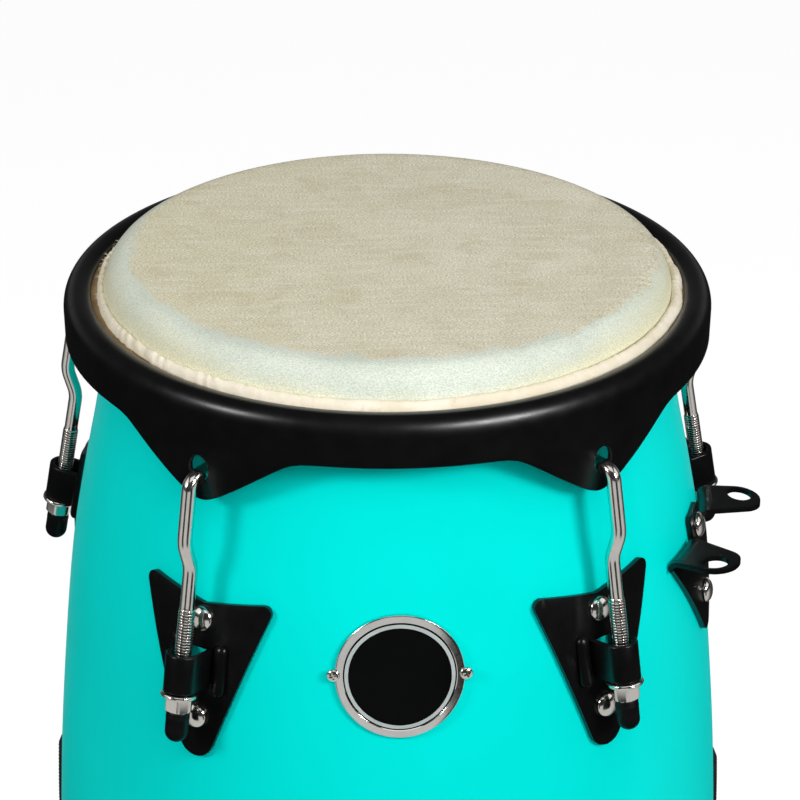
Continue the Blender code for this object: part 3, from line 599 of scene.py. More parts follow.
def hide_flat(where, clouds, across):
    """The flat of the head: beige, yellower on the left, with brown stains and pale streaks."""
    tone = mix_color(clouds, *HIDE_FLAT)
    tone = mix_color(remap(across, YELLOW_FROM, YELLOW_TO, YELLOW_MOST, 0.0), tone, HIDE_YELLOW)
    level = scaled(where, (1.0, 1.0, 0.0))
    stains = remap(noise_at(level, 44.0, 6.0, 0.68, 0.8), 0.47, 0.66, 0.0, 0.55)
    tone = mix_color(stains, tone, HIDE_STAIN)
    drawn = scaled(where, (0.16, 1.0, 1.0))
    streaks = remap(noise_at(drawn, 230.0, 5.0, 0.65), 0.46, 0.66, 0.0, 0.60)
    return mix_color(streaks, tone, HIDE_STREAK)


def hide_shoulder(clouds, across, height, ragged):
    """The shoulder: pale and cool, warm low down and further up at the sides."""
    beside = remap(across, -WARM_REACH, WARM_MIDDLE, WARM_RISE, 0.0)
    beside = calculate("ADD", beside, remap(across, WARM_MIDDLE, WARM_REACH, 0.0, WARM_RISE))
    beside = calculate("ADD", beside, calculate("MULTIPLY", ragged, WARM_RAGGED))
    lowered = calculate("SUBTRACT", height, beside)
    warm = remap(lowered, WARM_LOW, WARM_HIGH, 1.0, 0.0)
    return mix_color(warm, mix_color(clouds, *HIDE_SHOULDER), HIDE_WARM)


def rawhide():
    """Thin hide: a beige flat, a pale shoulder with a ragged border, a brown line of painted shade in the
    crease at the lip, and fine grain.
    """
    material, shader, where = principled("rawhide", specular_ior_level=0.25)
    parts = add_node("SeparateXYZ", {"Vector": where}).outputs
    across, height = parts["X"], parts["Z"]
    level = scaled(where, (1.0, 1.0, 0.0))
    radius = add_node("VectorMath", {0: level}, operation="LENGTH").outputs["Value"]
    uneven = noise_at(where, 42.0, 6.0, 0.72)
    ragged = remap(uneven, *NOISE_LIMITS, -SHOULDER_RAGGED, SHOULDER_RAGGED)
    shoulder = remap(calculate("ADD", radius, ragged), SHOULDER_FROM, SHOULDER_TO)
    clouds = remap(noise_at(where, 24.0, 5.0, 0.6), 0.33, 0.67)
    flat = hide_flat(where, clouds, across)
    tone = mix_color(shoulder, flat, hide_shoulder(clouds, across, height, ragged))

    # Painted shade: a brown band along the crease where the skin meets the lip.
    line = calculate("ADD", height, calculate("MULTIPLY", ragged, CREASE_RAGGED))
    crease_shade = remap(line, *CREASE_HEIGHTS[2:], CREASE_MOST, 0.0)
    crease_shade = calculate("MULTIPLY", crease_shade, remap(line, *CREASE_HEIGHTS[:2], CREASE_LEAST, 1.0))
    tone = mix_color(crease_shade, tone, HIDE_CREASE_SHADE)
    grain = noise_at(scaled(where, (0.5, 1.0, 1.0)), 1900.0, 3.0, 0.7)
    speck = remap(grain, *NOISE_LIMITS, *HIDE_SPECK)
    speck_color = add_node("CombineColor", {"Red": speck, "Green": speck, "Blue": speck}).outputs[0]
    speck_color = mix_color(calculate("MULTIPLY", shoulder, SHOULDER_PLAIN), speck_color, (1.0, 1.0, 1.0))
    tone = mix_color(1.0, tone, speck_color, "MULTIPLY")
    feed(shader, "Base Color", tone)
    rough = remap(noise_at(where, 60.0, 4.0), *NOISE_LIMITS, *HIDE_ROUGH)
    feed(shader, "Roughness", rough)
    bump(shader, calculate("ADD", grain, noise_at(where, 240.0, 3.0)), 0.00014, 0.5)
    return material


def raw_edge(name, low, high, stain):
    """The hide's raw edge: from the low tone to the high one in clouds, with stains and fibres."""
    material, shader, where = principled(name, roughness=0.68, specular_ior_level=0.2)
    clouds = remap(noise_at(where, 55.0, 4.0, 0.6), 0.33, 0.67)
    tone = mix_color(clouds, low, high)
    stains = remap(noise_at(where, 150.0, 4.0, 0.65, 0.8), 0.56, 0.76, 0.0, 0.55)
    tone = mix_color(stains, tone, stain)
    feed(shader, "Base Color", tone)
    fibres = noise_at(where, 1100.0, 4.0, 0.7)
    bump(shader, calculate("ADD", fibres, noise_at(where, 300.0, 3.0)), 0.0003, 0.6)
    return material


# Shell, foot and head


def make_shell(materials):
    low, top = SHELL_SIDE[0][0], SHELL_SIDE[-1][0]
    heights = spaced(top, low, SHELL_ROWS)
    crown_size = (shell_radius(top) - BEARING_EDGE_R, BEARING_EDGE_TOP - top)
    crown = arc((BEARING_EDGE_R, top), crown_size, 90, 0, 8)[:-1]
    outside = [(shell_radius(z), z) for z in heights]
    inside = [(shell_radius(z) - SHELL_WALL, z) for z in heights[::-1]]
    mesh = turned("shell_lacquered", crown + outside + inside, SHELL_STEPS, closed=True)
    for material in (materials["lacquer"], materials["wood"]):
        mesh.materials.append(material)
    for face in mesh.polygons:
        if face.normal.xy.dot(face.center.xy) < 0 or face.center.z > top:
            face.material_index = 1
    stand_for(place("shell_lacquered", mesh, materials["lacquer"], facing(0)), "shell")


def make_foot(material):
    low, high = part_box("base_ring")
    shell_low = SHELL_SIDE[0][0]
    low_r, top_r = shell_radius(shell_low), shell_radius(high.z)
    corners = [
        (low_r + FOOT_WALL, low.z, FOOT_ROUND),
        (top_r + FOOT_WALL, high.z, FOOT_ROUND / 2),
        (top_r + GAP, high.z, 0.0),
        (low_r + GAP, shell_low - GAP, 0.0),
        (low_r - SHELL_WALL - GAP, shell_low - GAP, 0.0),
        (top_r - SHELL_WALL - GAP, high.z, 0.0),
        (top_r - SHELL_WALL - FOOT_WALL, high.z, FOOT_ROUND / 2),
        (low_r - SHELL_WALL - FOOT_WALL, low.z, FOOT_ROUND),
    ]
    profile = [tuple(point) for point in rounded(corners, 6)]
    foot = place("foot_ring", turned("foot_ring", profile, SHELL_STEPS, closed=True), material, facing(0))
    stand_for(foot, "base_ring")


def sheet_profile(path, half):
    """Both sides of a line of (radius, height) points, each half a thickness away."""
    upper, lower = [], []
    for i, (r, z) in enumerate(path):
        before, after = path[max(i - 1, 0)], path[min(i + 1, len(path) - 1)]
        along = Vector((after[0] - before[0], after[1] - before[1])).normalized()
        upper.append((max(r - along.y * half, 0), z + along.x * half))
        lower.append((max(r + along.y * half, 0), z - along.x * half))
    return upper, lower


def place_hide_edge(name, mesh, material):
    """A piece of the hide's edge, which rides on the rim."""
    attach(place(name, mesh, material, facing(0)), "rim_body")


def make_head(materials):
    half = SKIN / 2
    line = [(HEAD_FLAT_R, HEAD_TOP - half), *COLLAR]
    radii, heights = (list(enumerate(values)) for values in zip(*line))
    places = [i / COLLAR_ROWS for i in range(len(COLLAR) * COLLAR_ROWS + 1)]
    collar = [(smooth_value(radii, at), smooth_value(heights, at)) for at in places]
    flat = [(HEAD_FLAT_R * i / HEAD_RINGS, HEAD_TOP - half) for i in range(HEAD_RINGS)]
    upper, lower = sheet_profile(flat + collar, half)
    mesh = turned("head_skin", upper + lower[::-1], HEAD_STEPS)
    skin = place("head_skin", mesh, materials["rawhide"], facing(0))
    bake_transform(skin)
    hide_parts("drum_head")

    wrap = arc((HOOP_R, HOOP_Z), HOOP_WRAP_R, HOOP_WRAP_FROM, HOOP_WRAP_TO, HOOP_WRAP_POINTS)
    outer, inner = sheet_profile([collar[-1], *wrap, (LIP_INNER_R + LIP_THIN, LIP_Z)], half)
    mesh = turned("head_tuck", outer + inner[::-1], HEAD_STEPS, closed=True)
    # The tuck's dark brown is painted shade for the gap between lip and rim.
    place_hide_edge("head_tuck", mesh, materials["painted_shade_hide"])


def wander(angle, cycles, seed):
    """Smooth noise round the drum, from -1 to 1, with about that many bumps in a turn."""
    reach = cycles / (2 * math.pi)
    return noise.noise(Vector((reach * math.sin(angle), reach * math.cos(angle), seed * WANDER_STEP)))


def lip_section(angle):
    """Centre radius, centre height, half width and half height of the lip at this azimuth."""
    plump = 0.5 + 0.5 * math.cos(angle - math.radians(LIP_PLUMP_AZIMUTH))
    wide = LIP_THIN + LIP_PLUMP * plump + LIP_UNEVEN * wander(angle, 40, LIP_SEED)
    tall = LIP_TALL + LIP_TALL_UNEVEN * wander(angle, 30, LIP_SEED + 1)
    radius = LIP_INNER_R + wide + LIP_UNEVEN * wander(angle, 22, LIP_SEED + 2)
    radius += (LIP_SLIP + LIP_PLUMP_SLIP * plump) * wander(angle, 90, LIP_SEED + 8)
    height = LIP_Z + LIP_UNEVEN * wander(angle, 26, LIP_SEED + 3)
    return radius, height, wide, tall


def lip_point(angle, side):
    """A point of the lip's skin, wrinkled along slanting folds."""
    radius, height, wide, tall = lip_section(angle)
    turn = 2 * math.pi * side
    drift = LIP_SLANT_DRIFT * wander(angle, 45, LIP_SEED + 4)
    slant = angle * LIP_FOLDS + LIP_SLANT * math.sin(turn) + drift
    deep = LIP_FOLD_LEAST + (1 - LIP_FOLD_LEAST) * wander(angle, 34, LIP_SEED + 5)
    fold = LIP_FOLD * math.sin(slant) * deep
    rough = LIP_ROUGH * wander(angle, 420, LIP_SEED + 6 + round(side * LIP_SIDES) * LIP_SIDE_STEP)
    grown = 1 + (fold + rough) / wide
    r = radius + wide * grown * math.cos(turn) - LIP_LEAN * math.sin(turn)
    return polar(r, angle, height + tall * grown * math.sin(turn))


def make_lip(material):
    rows = [[lip_point(t, k / LIP_SIDES) for k in range(LIP_SIDES)] for t in whole_turn(LIP_STEPS)]
    mesh = surface("head_lip", rows, wrap_rows=True, smooth_angle=80)
    place_hide_edge("head_lip", mesh, material)


def make_fibres(material):
    """Short loose fibres that stick out of the lip's outer side, more of them at the rear left."""
    draw = random.Random(FIBRE_SEED)
    bm = bmesh.new()
    for _ in range(FIBRE_COUNT):
        gathered = draw.random() < FIBRE_GATHERED
        azimuth = draw.gauss(FIBRE_AZIMUTH, FIBRE_SPREAD) if gathered else draw.uniform(-180, 180)
        angle = math.radians(azimuth)
        root = lip_point(angle, draw.uniform(*FIBRE_SIDE))
        out = polar(1, angle, 0)
        along = Vector((math.cos(angle), math.sin(angle), 0))
        heading = (out * draw.uniform(*FIBRE_OUT) + along * draw.uniform(*FIBRE_ALONG)).normalized()
        heading = (heading + Vector((0, 0, draw.uniform(*FIBRE_RISE)))).normalized()
        length, thick = draw.uniform(*FIBRE_LENGTH), draw.uniform(*FIBRE_THICK)
        side = heading.cross(Vector((0, 0, 1))).normalized()
        lift = side.cross(heading)
        droop = Vector((0, 0, -draw.uniform(0.0, FIBRE_DROOP)))
        rows = []
        for share, width in FIBRE_TAPER:
            center = root + heading * (length * share - FIBRE_ROOT) + droop * share**2
            reach = thick * width
            rows.append([center + (side * math.cos(t) + lift * math.sin(t)) * reach for t in whole_turn(4)])
        add_surface(bm, rows, caps=True)
    mesh = finish_mesh(bm, "lip_fibres", 60)
    place_hide_edge("lip_fibres", mesh, material)


# Rim


def ear_edge(degrees):
    """The height of the skirt's lower edge at this many degrees from the nearest ear's middle."""
    along = math.radians(degrees) * RIM_EDGE_R
    slant = EAR_TIP_Z + EAR_SLOPE * (math.hypot(along, EAR_TIP_ROUND) - EAR_TIP_ROUND)
    apart = slant - RIM_EDGE_Z
    return (slant + RIM_EDGE_Z - math.hypot(apart, EAR_TOP_ROUND)) / 2


def rim_section(edge):
    """The closed (radius, height) section of the rim where its lower edge is at this height."""
    half = RIM_SHEET / 2
    inner = (RIM_CREST_R - RIM_INNER_R, RIM_CREST_Z - RIM_INNER_Z)
    outer = (RIM_WIDEST_R - RIM_CREST_R, RIM_CREST_Z - RIM_WIDEST_Z)

    def shrunk(pair):
        return tuple(value - RIM_SHEET for value in pair)

    skin = arc((RIM_CREST_R, RIM_INNER_Z), inner, 180, 90, 9)
    skin += arc((RIM_CREST_R, RIM_WIDEST_Z), outer, 90, 0, 15)[1:]
    foot = edge + half
    levels = spaced(RIM_WIDEST_Z, foot, 11)[1:]

    def skirt(z):
        return RIM_WIDEST_R + (RIM_EDGE_R - RIM_WIDEST_R) * (RIM_WIDEST_Z - z) / (RIM_WIDEST_Z - EAR_TIP_Z)

    down = [(skirt(z), z) for z in levels]
    turn = arc((skirt(foot) - half, foot), half, 0, -180, 7)[1:-1]
    up = [(r - RIM_SHEET, z) for r, z in reversed(down)]
    under = arc((RIM_CREST_R, RIM_WIDEST_Z), shrunk(outer), 0, 90, 9)
    under += arc((RIM_CREST_R, RIM_INNER_Z), shrunk(inner), 90, 180, 6)[1:]
    nose = arc((RIM_INNER_R + half, RIM_INNER_Z), half, 360, 180, 6)[1:-1]
    return skin + down + turn + up + under + nose


def make_rim(material):
    first, pitch = lug_azimuth(1), 360 / LUG_COUNT
    ear = spaced(-EAR_SPAN, EAR_SPAN, EAR_STEPS + 1)[:-1]
    plain = spaced(EAR_SPAN, pitch - EAR_SPAN, PLAIN_STEPS + 1)[:-1]
    rows = []
    for number in range(LUG_COUNT):
        for offset in ear + plain:
            angle = first + math.radians(number * pitch + offset)
            section = rim_section(ear_edge(offset if offset < pitch / 2 else pitch - offset))
            rows.append([polar(r, angle, z) for r, z in section])
    rim = add_object("rim_coated", surface("rim_coated", rows, wrap_rows=True, smooth_angle=50))

    flare, reach = EAR_HOLE_FLARE, RIM_SHEET / 2
    across, along = EAR_HOLE_ROUND
    profile = [(0.0, -EAR_CUTTER_END), (EAR_CUTTER_R, -EAR_CUTTER_END), (EAR_HOLE_R + flare, -reach)]
    profile += [(EAR_HOLE_R + flare * across, -reach + flare * along), (EAR_HOLE_R, -reach + flare)]
    profile += [(r, -z) for r, z in reversed(profile)]
    seat = Matrix.Translation((0, -RIM_EDGE_R + reach, EAR_HOLE_Z)) @ Matrix.Rotation(math.pi / 2, 4, "X")
    seat @= Matrix.Diagonal((1, EAR_HOLE_TALL, 1, 1))
    bm = bmesh.new()
    for number in range(LUG_COUNT):
        turn = Matrix.Rotation(first + math.radians(number * pitch), 4, "Z")
        add_surface(bm, [[turn @ seat @ point for point in ring(r, z, 40)] for r, z in profile])
    holes = add_object("ear_holes", finish_mesh(bm, "ear_holes", 40))
    mesh = combined(rim, [holes], "DIFFERENCE", 40)
    stand_for(place("rim_coated", mesh, material, facing(0)), "rim", "rim_body")


# Lugs


def thread_radius(along, turn):
    """The rod's radius at this height and angle: V grooves between crests, fading into the plain rod."""
    phase = (along / THREAD_PITCH - turn / (2 * math.pi)) % 1.0
    ridge = min(abs(2 * phase - 1) / THREAD_VEE, 1.0)
    fade = min(max((THREAD_TO - along) / THREAD_RUNOUT, 0.0), 1.0)
    cut = THREAD_ROOT_R + (THREAD_CREST_R - THREAD_ROOT_R) * ridge
    return ROD_R + (cut - ROD_R) * fade


def hook_mesh(materials):
    """A bent rod swept along its path, with a helical thread on its lower part and painted shade in its
    grooves.
    """
    jog_low, jog_high, jog_out = HOOK_JOG
    bend_z, end_out, end_rise = HOOK_REACH
    corners = [
        (0.0, THREAD_TO + THREAD_PITCH, 0.0),
        (0.0, jog_low, HOOK_BENDS[0]),
        (jog_out, jog_high, HOOK_BENDS[1]),
        (jog_out, bend_z, HOOK_BENDS[2]),
        (end_out, bend_z + end_rise, 0.0),
    ]
    bends = rounded(corners, count=12, closed=False)
    count = round((THREAD_TO - THREAD_FROM) / THREAD_PITCH * THREAD_ROWS)
    straight = [ROD_LOWER_END, *spaced(THREAD_FROM, THREAD_TO, count + 1)]
    path = [Vector((0.0, along)) for along in straight] + bends

    def section(center, along, radius_at):
        side = Vector((-along.y, along.x))
        points = []
        for turn in whole_turn(ROD_SIDES):
            radius = radius_at(turn)
            out = center + side * (radius * math.cos(turn))
            points.append((radius * math.sin(turn), -out.x, out.y))
        return points

    rows = []
    for i, point in enumerate(path):
        along = (path[min(i + 1, len(path) - 1)] - path[max(i - 1, 0)]).normalized()
        if point.y <= THREAD_TO and point.x == 0.0:
            rows.append(section(point, along, lambda turn: thread_radius(point.y, turn)))
        else:
            rows.append(section(point, along, lambda turn: ROD_R))
    tip = (path[-1] - path[-2]).normalized()
    for grow, keep in HOOK_TIP:
        rows.append(section(path[-1] + tip * grow, tip, lambda turn: ROD_R * keep))
    mesh = surface("tuning_hook", rows, caps=True, smooth_angle=60)
    mesh.materials.append(materials["nickel"])
    mesh.materials.append(materials["groove"])
    # Faces deep in the thread's grooves take the near-black material, which is painted shade.
    deep = THREAD_ROOT_R + (THREAD_CREST_R - THREAD_ROOT_R) * THREAD_SHADE_DEPTH
    for face in mesh.polygons:
        middle = face.center
        if middle.z < THREAD_TO - THREAD_RUNOUT and middle.xy.length < deep:
            face.material_index = 1
    return mesh


def hex_radius(turn):
    """A hexagon's radius at this angle, with its corners turned off."""
    flat = NUT_HEX_R * math.cos(math.pi / 6)
    off = (turn + math.pi / 6) % (math.pi / 3) - math.pi / 6
    return min(flat / math.cos(off), NUT_CORNER_R)


def nut_mesh():
    """A flanged hex nut, GAP under the sleeve's lower end, with rounded flange and turned corners."""
    middle = (NUT_FLANGE_R - NUT_FLANGE_ROUND, -GAP - NUT_FLANGE_ROUND)
    upper = [(NUT_BORE_R, -GAP - NUT_LEAD_TOP), (NUT_BORE_R + NUT_LEAD_TOP, -GAP)]
    upper += arc(middle, NUT_FLANGE_ROUND, 90, -90, 11)
    lower = [(NUT_BORE_R + NUT_LEAD_LOW, NUT_LOW), (NUT_BORE_R, NUT_LOW + NUT_LEAD_LOW)]

    def hex_row(grown, turned_off, z):
        turns = whole_turn(NUT_STEPS)
        return [polar(min(hex_radius(t), NUT_CORNER_R - turned_off) + grown, t, z) for t in turns]

    rows = [ring(r, z, NUT_STEPS) for r, z in upper]
    rows += [hex_row(*values) for values in NUT_HEX_ROWS]
    rows += [ring(r, z, NUT_STEPS) for r, z in lower]
    return surface("tuning_nut", rows, wrap_rows=True, smooth_angle=22)


def cap_mesh():
    """A round-ended vinyl cap with a soft upper edge and a faint moulded band."""
    top = NUT_LOW - GAP
    dome = top - CAP_LENGTH + CAP_R
    edge = arc((CAP_R - CAP_EDGE, top - CAP_EDGE), CAP_EDGE, 90, 0, 5)
    band = [(CAP_R + proud, top - drop) for drop, proud in CAP_BAND]
    end = arc((0, dome), CAP_R, 0, -90, 14)
    end[-1] = (0.0, dome - CAP_R)
    bore = [(0.0, ROD_LOWER_END - GAP), (ROD_R, ROD_LOWER_END - GAP), (ROD_R, top)]
    return turned("hook_cap", bore + edge + band + end, 40)


def sleeve_reach(foot_r, foot_z, tilt):
    """How far the plate's face is from the rod, at the sleeve's nearer end."""
    reach = []
    for along in (0.0, SLEEVE_LENGTH):
        z = foot_z + along * math.cos(tilt)
        rod = foot_r - along * math.sin(tilt)
        reach.append((rod - shell_radius(z) - PLATE_GAP - PLATE_SHEET) * math.cos(tilt))
    return min(reach) - GAP


def sleeve_mesh(reach):
    """A strap bent round the rod, with a rounded ridge on the plate along each of its feet."""
    inner = SLEEVE_R - SLEEVE_WALL
    nose = arc((0, 0), SLEEVE_R, 180, 360, 30)
    hollow = arc((0, 0), inner, 360, 180, 30)
    right, left = [(SLEEVE_R, reach), (inner, reach)], [(-inner, reach), (-SLEEVE_R, reach)]
    outline = nose + right + hollow + left
    rows = [[(x, y, z) for x, y in outline] for z in (0.0, SLEEVE_LENGTH)]
    strap = add_object("strap", surface("strap", rows, caps=True, smooth_angle=30))
    bevel(strap, SLEEVE_EDGE)
    strap = add_object("lug_sleeve", evaluated(strap))
    start = (SLEEVE_LENGTH - RIDGE_LENGTH) / 2
    ends = [(start + share * RIDGE_LENGTH, keep) for share, keep in RIDGE_ENDS]
    ends += [(SLEEVE_LENGTH - along, keep) for along, keep in reversed(ends)]
    ridges = []
    for side in (-1, 1):
        at = side * RIDGE_AT
        rows = []
        for along, keep in ends:
            hump = arc((at, reach), (RIDGE_HALF * keep, RIDGE_TALL * keep), 180, 360, 21)
            foot = [(at + turn * RIDGE_HALF * keep, reach + RIDGE_ROOT) for turn in (1, -1)]
            rows.append([(x, y, along) for x, y in hump + foot])
        ridges.append(add_object(f"ridge_{side}", surface("ridge", rows, caps=True)))
    return combined(strap, ridges, "UNION", 35)


def sheet_mesh(name, loops, bend):
    """A flat pattern cut fine, bent onto the shell, thickened and rounded at its edges."""
    bm = bmesh.new()
    for loop in loops:
        verts = [bm.verts.new((x, y, 0)) for x, y in loop]
        for i, vert in enumerate(verts):
            bm.edges.new((vert, verts[i - 1]))
    bmesh.ops.triangle_fill(bm, edges=bm.edges[:], use_beauty=True, normal=Vector((0, 0, 1)))
    xs, ys = [v.co.x for v in bm.verts], [v.co.y for v in bm.verts]
    for normal, places in ((Vector((1, 0, 0)), xs), (Vector((0, 1, 0)), ys)):
        for i in range(1, int((max(places) - min(places)) / PLATE_CELL)):
            geometry = bm.verts[:] + bm.edges[:] + bm.faces[:]
            at = normal * (min(places) + PLATE_CELL * i)
            bmesh.ops.bisect_plane(bm, geom=geometry, dist=1e-5, plane_co=at, plane_no=normal)
    for vert in bm.verts:
        vert.co = bend(vert.co.x, vert.co.y)
    plate = add_object(name, finish_mesh(bm, name, 40))
    outward = sum(face.area * face.normal.xy.dot(face.center.xy) for face in plate.data.polygons) > 0
    solid = plate.modifiers.new("Sheet", "SOLIDIFY")
    solid.thickness = PLATE_SHEET
    solid.offset = 1.0 if outward else -1.0
    solid.use_even_offset = True
    bevel(plate, PLATE_EDGE)
    mesh = evaluated(plate)
    mesh.shade_smooth()
    mesh.set_sharp_from_angle(angle=math.radians(50))
    return mesh


def side_plate_mesh(foot_z, tilt, reach):
    """The shield, with the window that the strap was pressed out of."""
    wing_a, wing_z = PLATE_WING
    corners = [
        (0.0, PLATE_NOTCH_Z, PLATE_NOTCH_ROUND),
        (-wing_a, wing_z, PLATE_WING_ROUND),
        (0.0, PLATE_POINT_Z, PLATE_TIP_ROUND),
        (wing_a, wing_z, PLATE_WING_ROUND),
    ]
    low = foot_z - reach * math.sin(tilt)
    high = low + SLEEVE_LENGTH * math.cos(tilt) - WINDOW_DROP
    edges = ((-WINDOW_HALF, low), (WINDOW_HALF, low), (WINDOW_HALF, high), (-WINDOW_HALF, high))
    window = rounded([(x, z, WINDOW_ROUND) for x, z in edges], 4)
    return sheet_mesh("side_plate", [rounded(corners), window], lambda a, z: on_shell(a, z, PLATE_GAP))


def domed(name, sizes, dome_points, steps):
    """A domed bolt or screw along Z, with the underside of its head at z = 0."""
    head_r, head_h, skirt, undercut, shank_r, reach = sizes
    dome = arc((0, skirt), (head_r, head_h - skirt), 90, 0, dome_points)
    dome[0] = (0.0, head_h)
    shank = [(head_r - undercut, 0.0), (shank_r, 0.0), (shank_r, -reach), (0.0, -reach)]
    return turned(name, dome + shank, steps)


def bolt_mesh():
    return domed("plate_bolt", BOLT, 16, 48)


def make_bolts(bolt, material, kind, suffix, heights, front):
    for level, z in zip(("upper", "lower"), heights):
        node = f"{kind}_bolt_{level}{suffix}"
        matrix = front @ facing_out(z, PLATE_GAP + PLATE_SHEET)
        stand_for(place(node + "_domed", bolt, material, matrix), node)


def make_lugs(materials):
    first = JOINTS["nut_1_turn"]
    foot = Vector(first["pos_m"]) - AXIS
    tilt = math.acos(first["axis"][2])
    foot_r, foot_z = foot.xy.length, foot.z
    hook, nut, cap = hook_mesh(materials), nut_mesh(), cap_mesh()
    reach = sleeve_reach(foot_r, foot_z, tilt)
    sleeve, plate, bolt = sleeve_mesh(reach), side_plate_mesh(foot_z, tilt, reach), bolt_mesh()
    for number in range(1, LUG_COUNT + 1):
        front = facing(lug_azimuth(number))
        rod = front @ Matrix.Translation((0, -foot_r, foot_z)) @ Matrix.Rotation(-tilt, 4, "X")
        hooked, turning = f"hook_{number}", f"nut_{number}"
        pieces = (
            ("tuning_hook", "_threaded", hook, "nickel", rod, hooked),
            ("tuning_nut", "_flanged", nut, "nickel", rod, turning),
            ("hook_cap", "_vinyl", cap, "rubber", rod, hooked),
            ("lug_sleeve", "_strap", sleeve, "black_metal", rod, "shell_body"),
            ("side_plate", "_pressed", plate, "black_metal", front, "shell_body"),
        )
        for kind, form, mesh, slot, matrix, body in pieces:
            node = f"{kind}_{number}"
            look = materials["vinyl"] if kind == "hook_cap" else materials[slot]
            stand_for(place(node + form, mesh, look, matrix), node, body)
        make_bolts(bolt, materials["nickel"], "plate", f"_{number}", PLATE_BOLT_HEIGHTS, front)


# Badge and bracket


def make_badge(materials):
    """A bare badge: a rolled bright bezel, a thin line, a satin ring and a black face."""
    front = facing(azimuth_of(middle_of("badge")))
    top = PLATE_GAP + BADGE_SHEET
    profile = [(BADGE_R, PLATE_GAP)] + arc((BADGE_R - BADGE_ROLL, top - BADGE_ROLL), BADGE_ROLL, 0, 90, 7)
    profile += [(BADGE_LINE_R + BADGE_STEP, top), (BADGE_LINE_R, top - BADGE_STEP)]
    edges = (BADGE_LINE_R, BADGE_RING_R, BADGE_FACE_R)
    for outer, inner, sink in zip(edges, (*edges[1:], 0.0), BADGE_SINKS):
        profile += [(outer, top - sink), (inner, top - sink)]
    rows = []
    for (r, off), (after_r, after_off) in zip(profile, profile[1:]):
        pieces = BADGE_FINE if r - after_r < BADGE_WIDE else BADGE_COARSE
        for k in range(pieces):
            share = k / pieces
            rows.append((r + (after_r - r) * share, off + (after_off - off) * share))
    rows += [profile[-1], (0.0, PLATE_GAP)]
    grid = []
    for r, off in rows:
        places = [(r * math.sin(t), BADGE_Z + r * math.cos(t)) for t in whole_turn(BADGE_STEPS)]
        grid.append([on_shell(a, z, off) for a, z in places])
    mesh = surface("badge_bare", grid, wrap_rows=True, smooth_angle=30)
    for look in ("badge_metal", "badge_black", "badge_silver", "badge_black"):
        mesh.materials.append(materials[look])
    for face in mesh.polygons:
        middle = face.center
        a = math.atan2(middle.x, -middle.y) * shell_radius(middle.z)
        face.material_index = sum(math.hypot(a, middle.z - BADGE_Z) < edge for edge in edges)
    stand_for(place("badge_bare", mesh, materials["badge_metal"], front), "badge")

    screw = screw_mesh()
    for name, side in (("left", -1), ("right", 1)):
        matrix = front @ facing_out(BADGE_Z, top, side * SCREW_SPREAD)
        node = f"badge_screw_{name}"
        stand_for(place(node + "_cross", screw, materials["nickel"], matrix), node)


def screw_mesh():
    """A small domed screw with a cross recess."""
    screw = add_object("badge_screw", domed("badge_screw", SCREW, 12, 40))
    bm = bmesh.new()
    for turn in (CROSS_TURN, CROSS_TURN + math.pi / 2):
        at = Matrix.Rotation(turn, 4, "Z") @ Matrix.Translation((0, 0, SCREW_HEAD_H + CROSS_LIFT))
        bmesh.ops.create_cube(bm, size=1.0, matrix=at @ Matrix.Diagonal((*CROSS_SIZE, 1)))
    cross = add_object("cross", finish_mesh(bm, "cross", 30))
    return combined(screw, [cross], "DIFFERENCE", 40, overlap=True)


def fold_bracket(a, z):
    """Flat pattern to bracket: on the shell below the fold and on the tongue, bent out level above it."""
    if z <= BRACKET_FOLD_Z or abs(a) <= BRACKET_TONGUE + GAP:
        return on_shell(a, z, PLATE_GAP)
    root = on_shell(a, BRACKET_FOLD_Z, PLATE_GAP)
    run = z - BRACKET_FOLD_Z
    turn = min(run / BRACKET_BEND, math.pi / 2)
    flat = max(run - BRACKET_BEND * math.pi / 2, 0.0)
    out = BRACKET_BEND * (1 - math.cos(turn)) + flat
    return root + Vector((0, -out, BRACKET_BEND * math.sin(turn)))


def make_bracket(materials):
    half = [
        (BRACKET_TONGUE, BRACKET_TONGUE_Z, BRACKET_CORNER),
        (BRACKET_TONGUE, BRACKET_FOLD_Z, 0.0),
        (TAB_INNER, BRACKET_FOLD_Z, 0.0),
        (TAB_OUTER - 2 * TAB_ROUND - TAB_END_FLAT, TAB_END_Z, TAB_ROUND),
        (TAB_OUTER, TAB_END_Z, TAB_ROUND),
        (BRACKET_WING, BRACKET_FOLD_Z, BRACKET_CORNER),
    ]
    mirrored = [(-a, z, r) for a, z, r in reversed(half)]
    outline = rounded(half + [(0.0, BRACKET_POINT_Z, BRACKET_TIP_ROUND)] + mirrored)
    hole_a, hole_z, hole_r = TAB_HOLE
    holes = [circle((side * hole_a, hole_z), hole_r, 40) for side in (-1, 1)]
    front = facing(azimuth_of(middle_of("bracket_bolt_lower")))
    mesh = sheet_mesh("stand_bracket", [outline] + holes, fold_bracket)
    bracket = place("stand_bracket_folded", mesh, materials["black_metal"], front)
    stand_for(bracket, "stand_bracket")
    make_bolts(bolt_mesh(), materials["nickel"], "bracket", "", BRACKET_BOLT_HEIGHTS, front)


def bulge(distance, reach):
    """From 0 at an edge up to 1 at the reach from it, along a quarter circle."""
    return math.sqrt(max(1 - (1 - min(distance / reach, 1.0)) ** 2, 0.0))


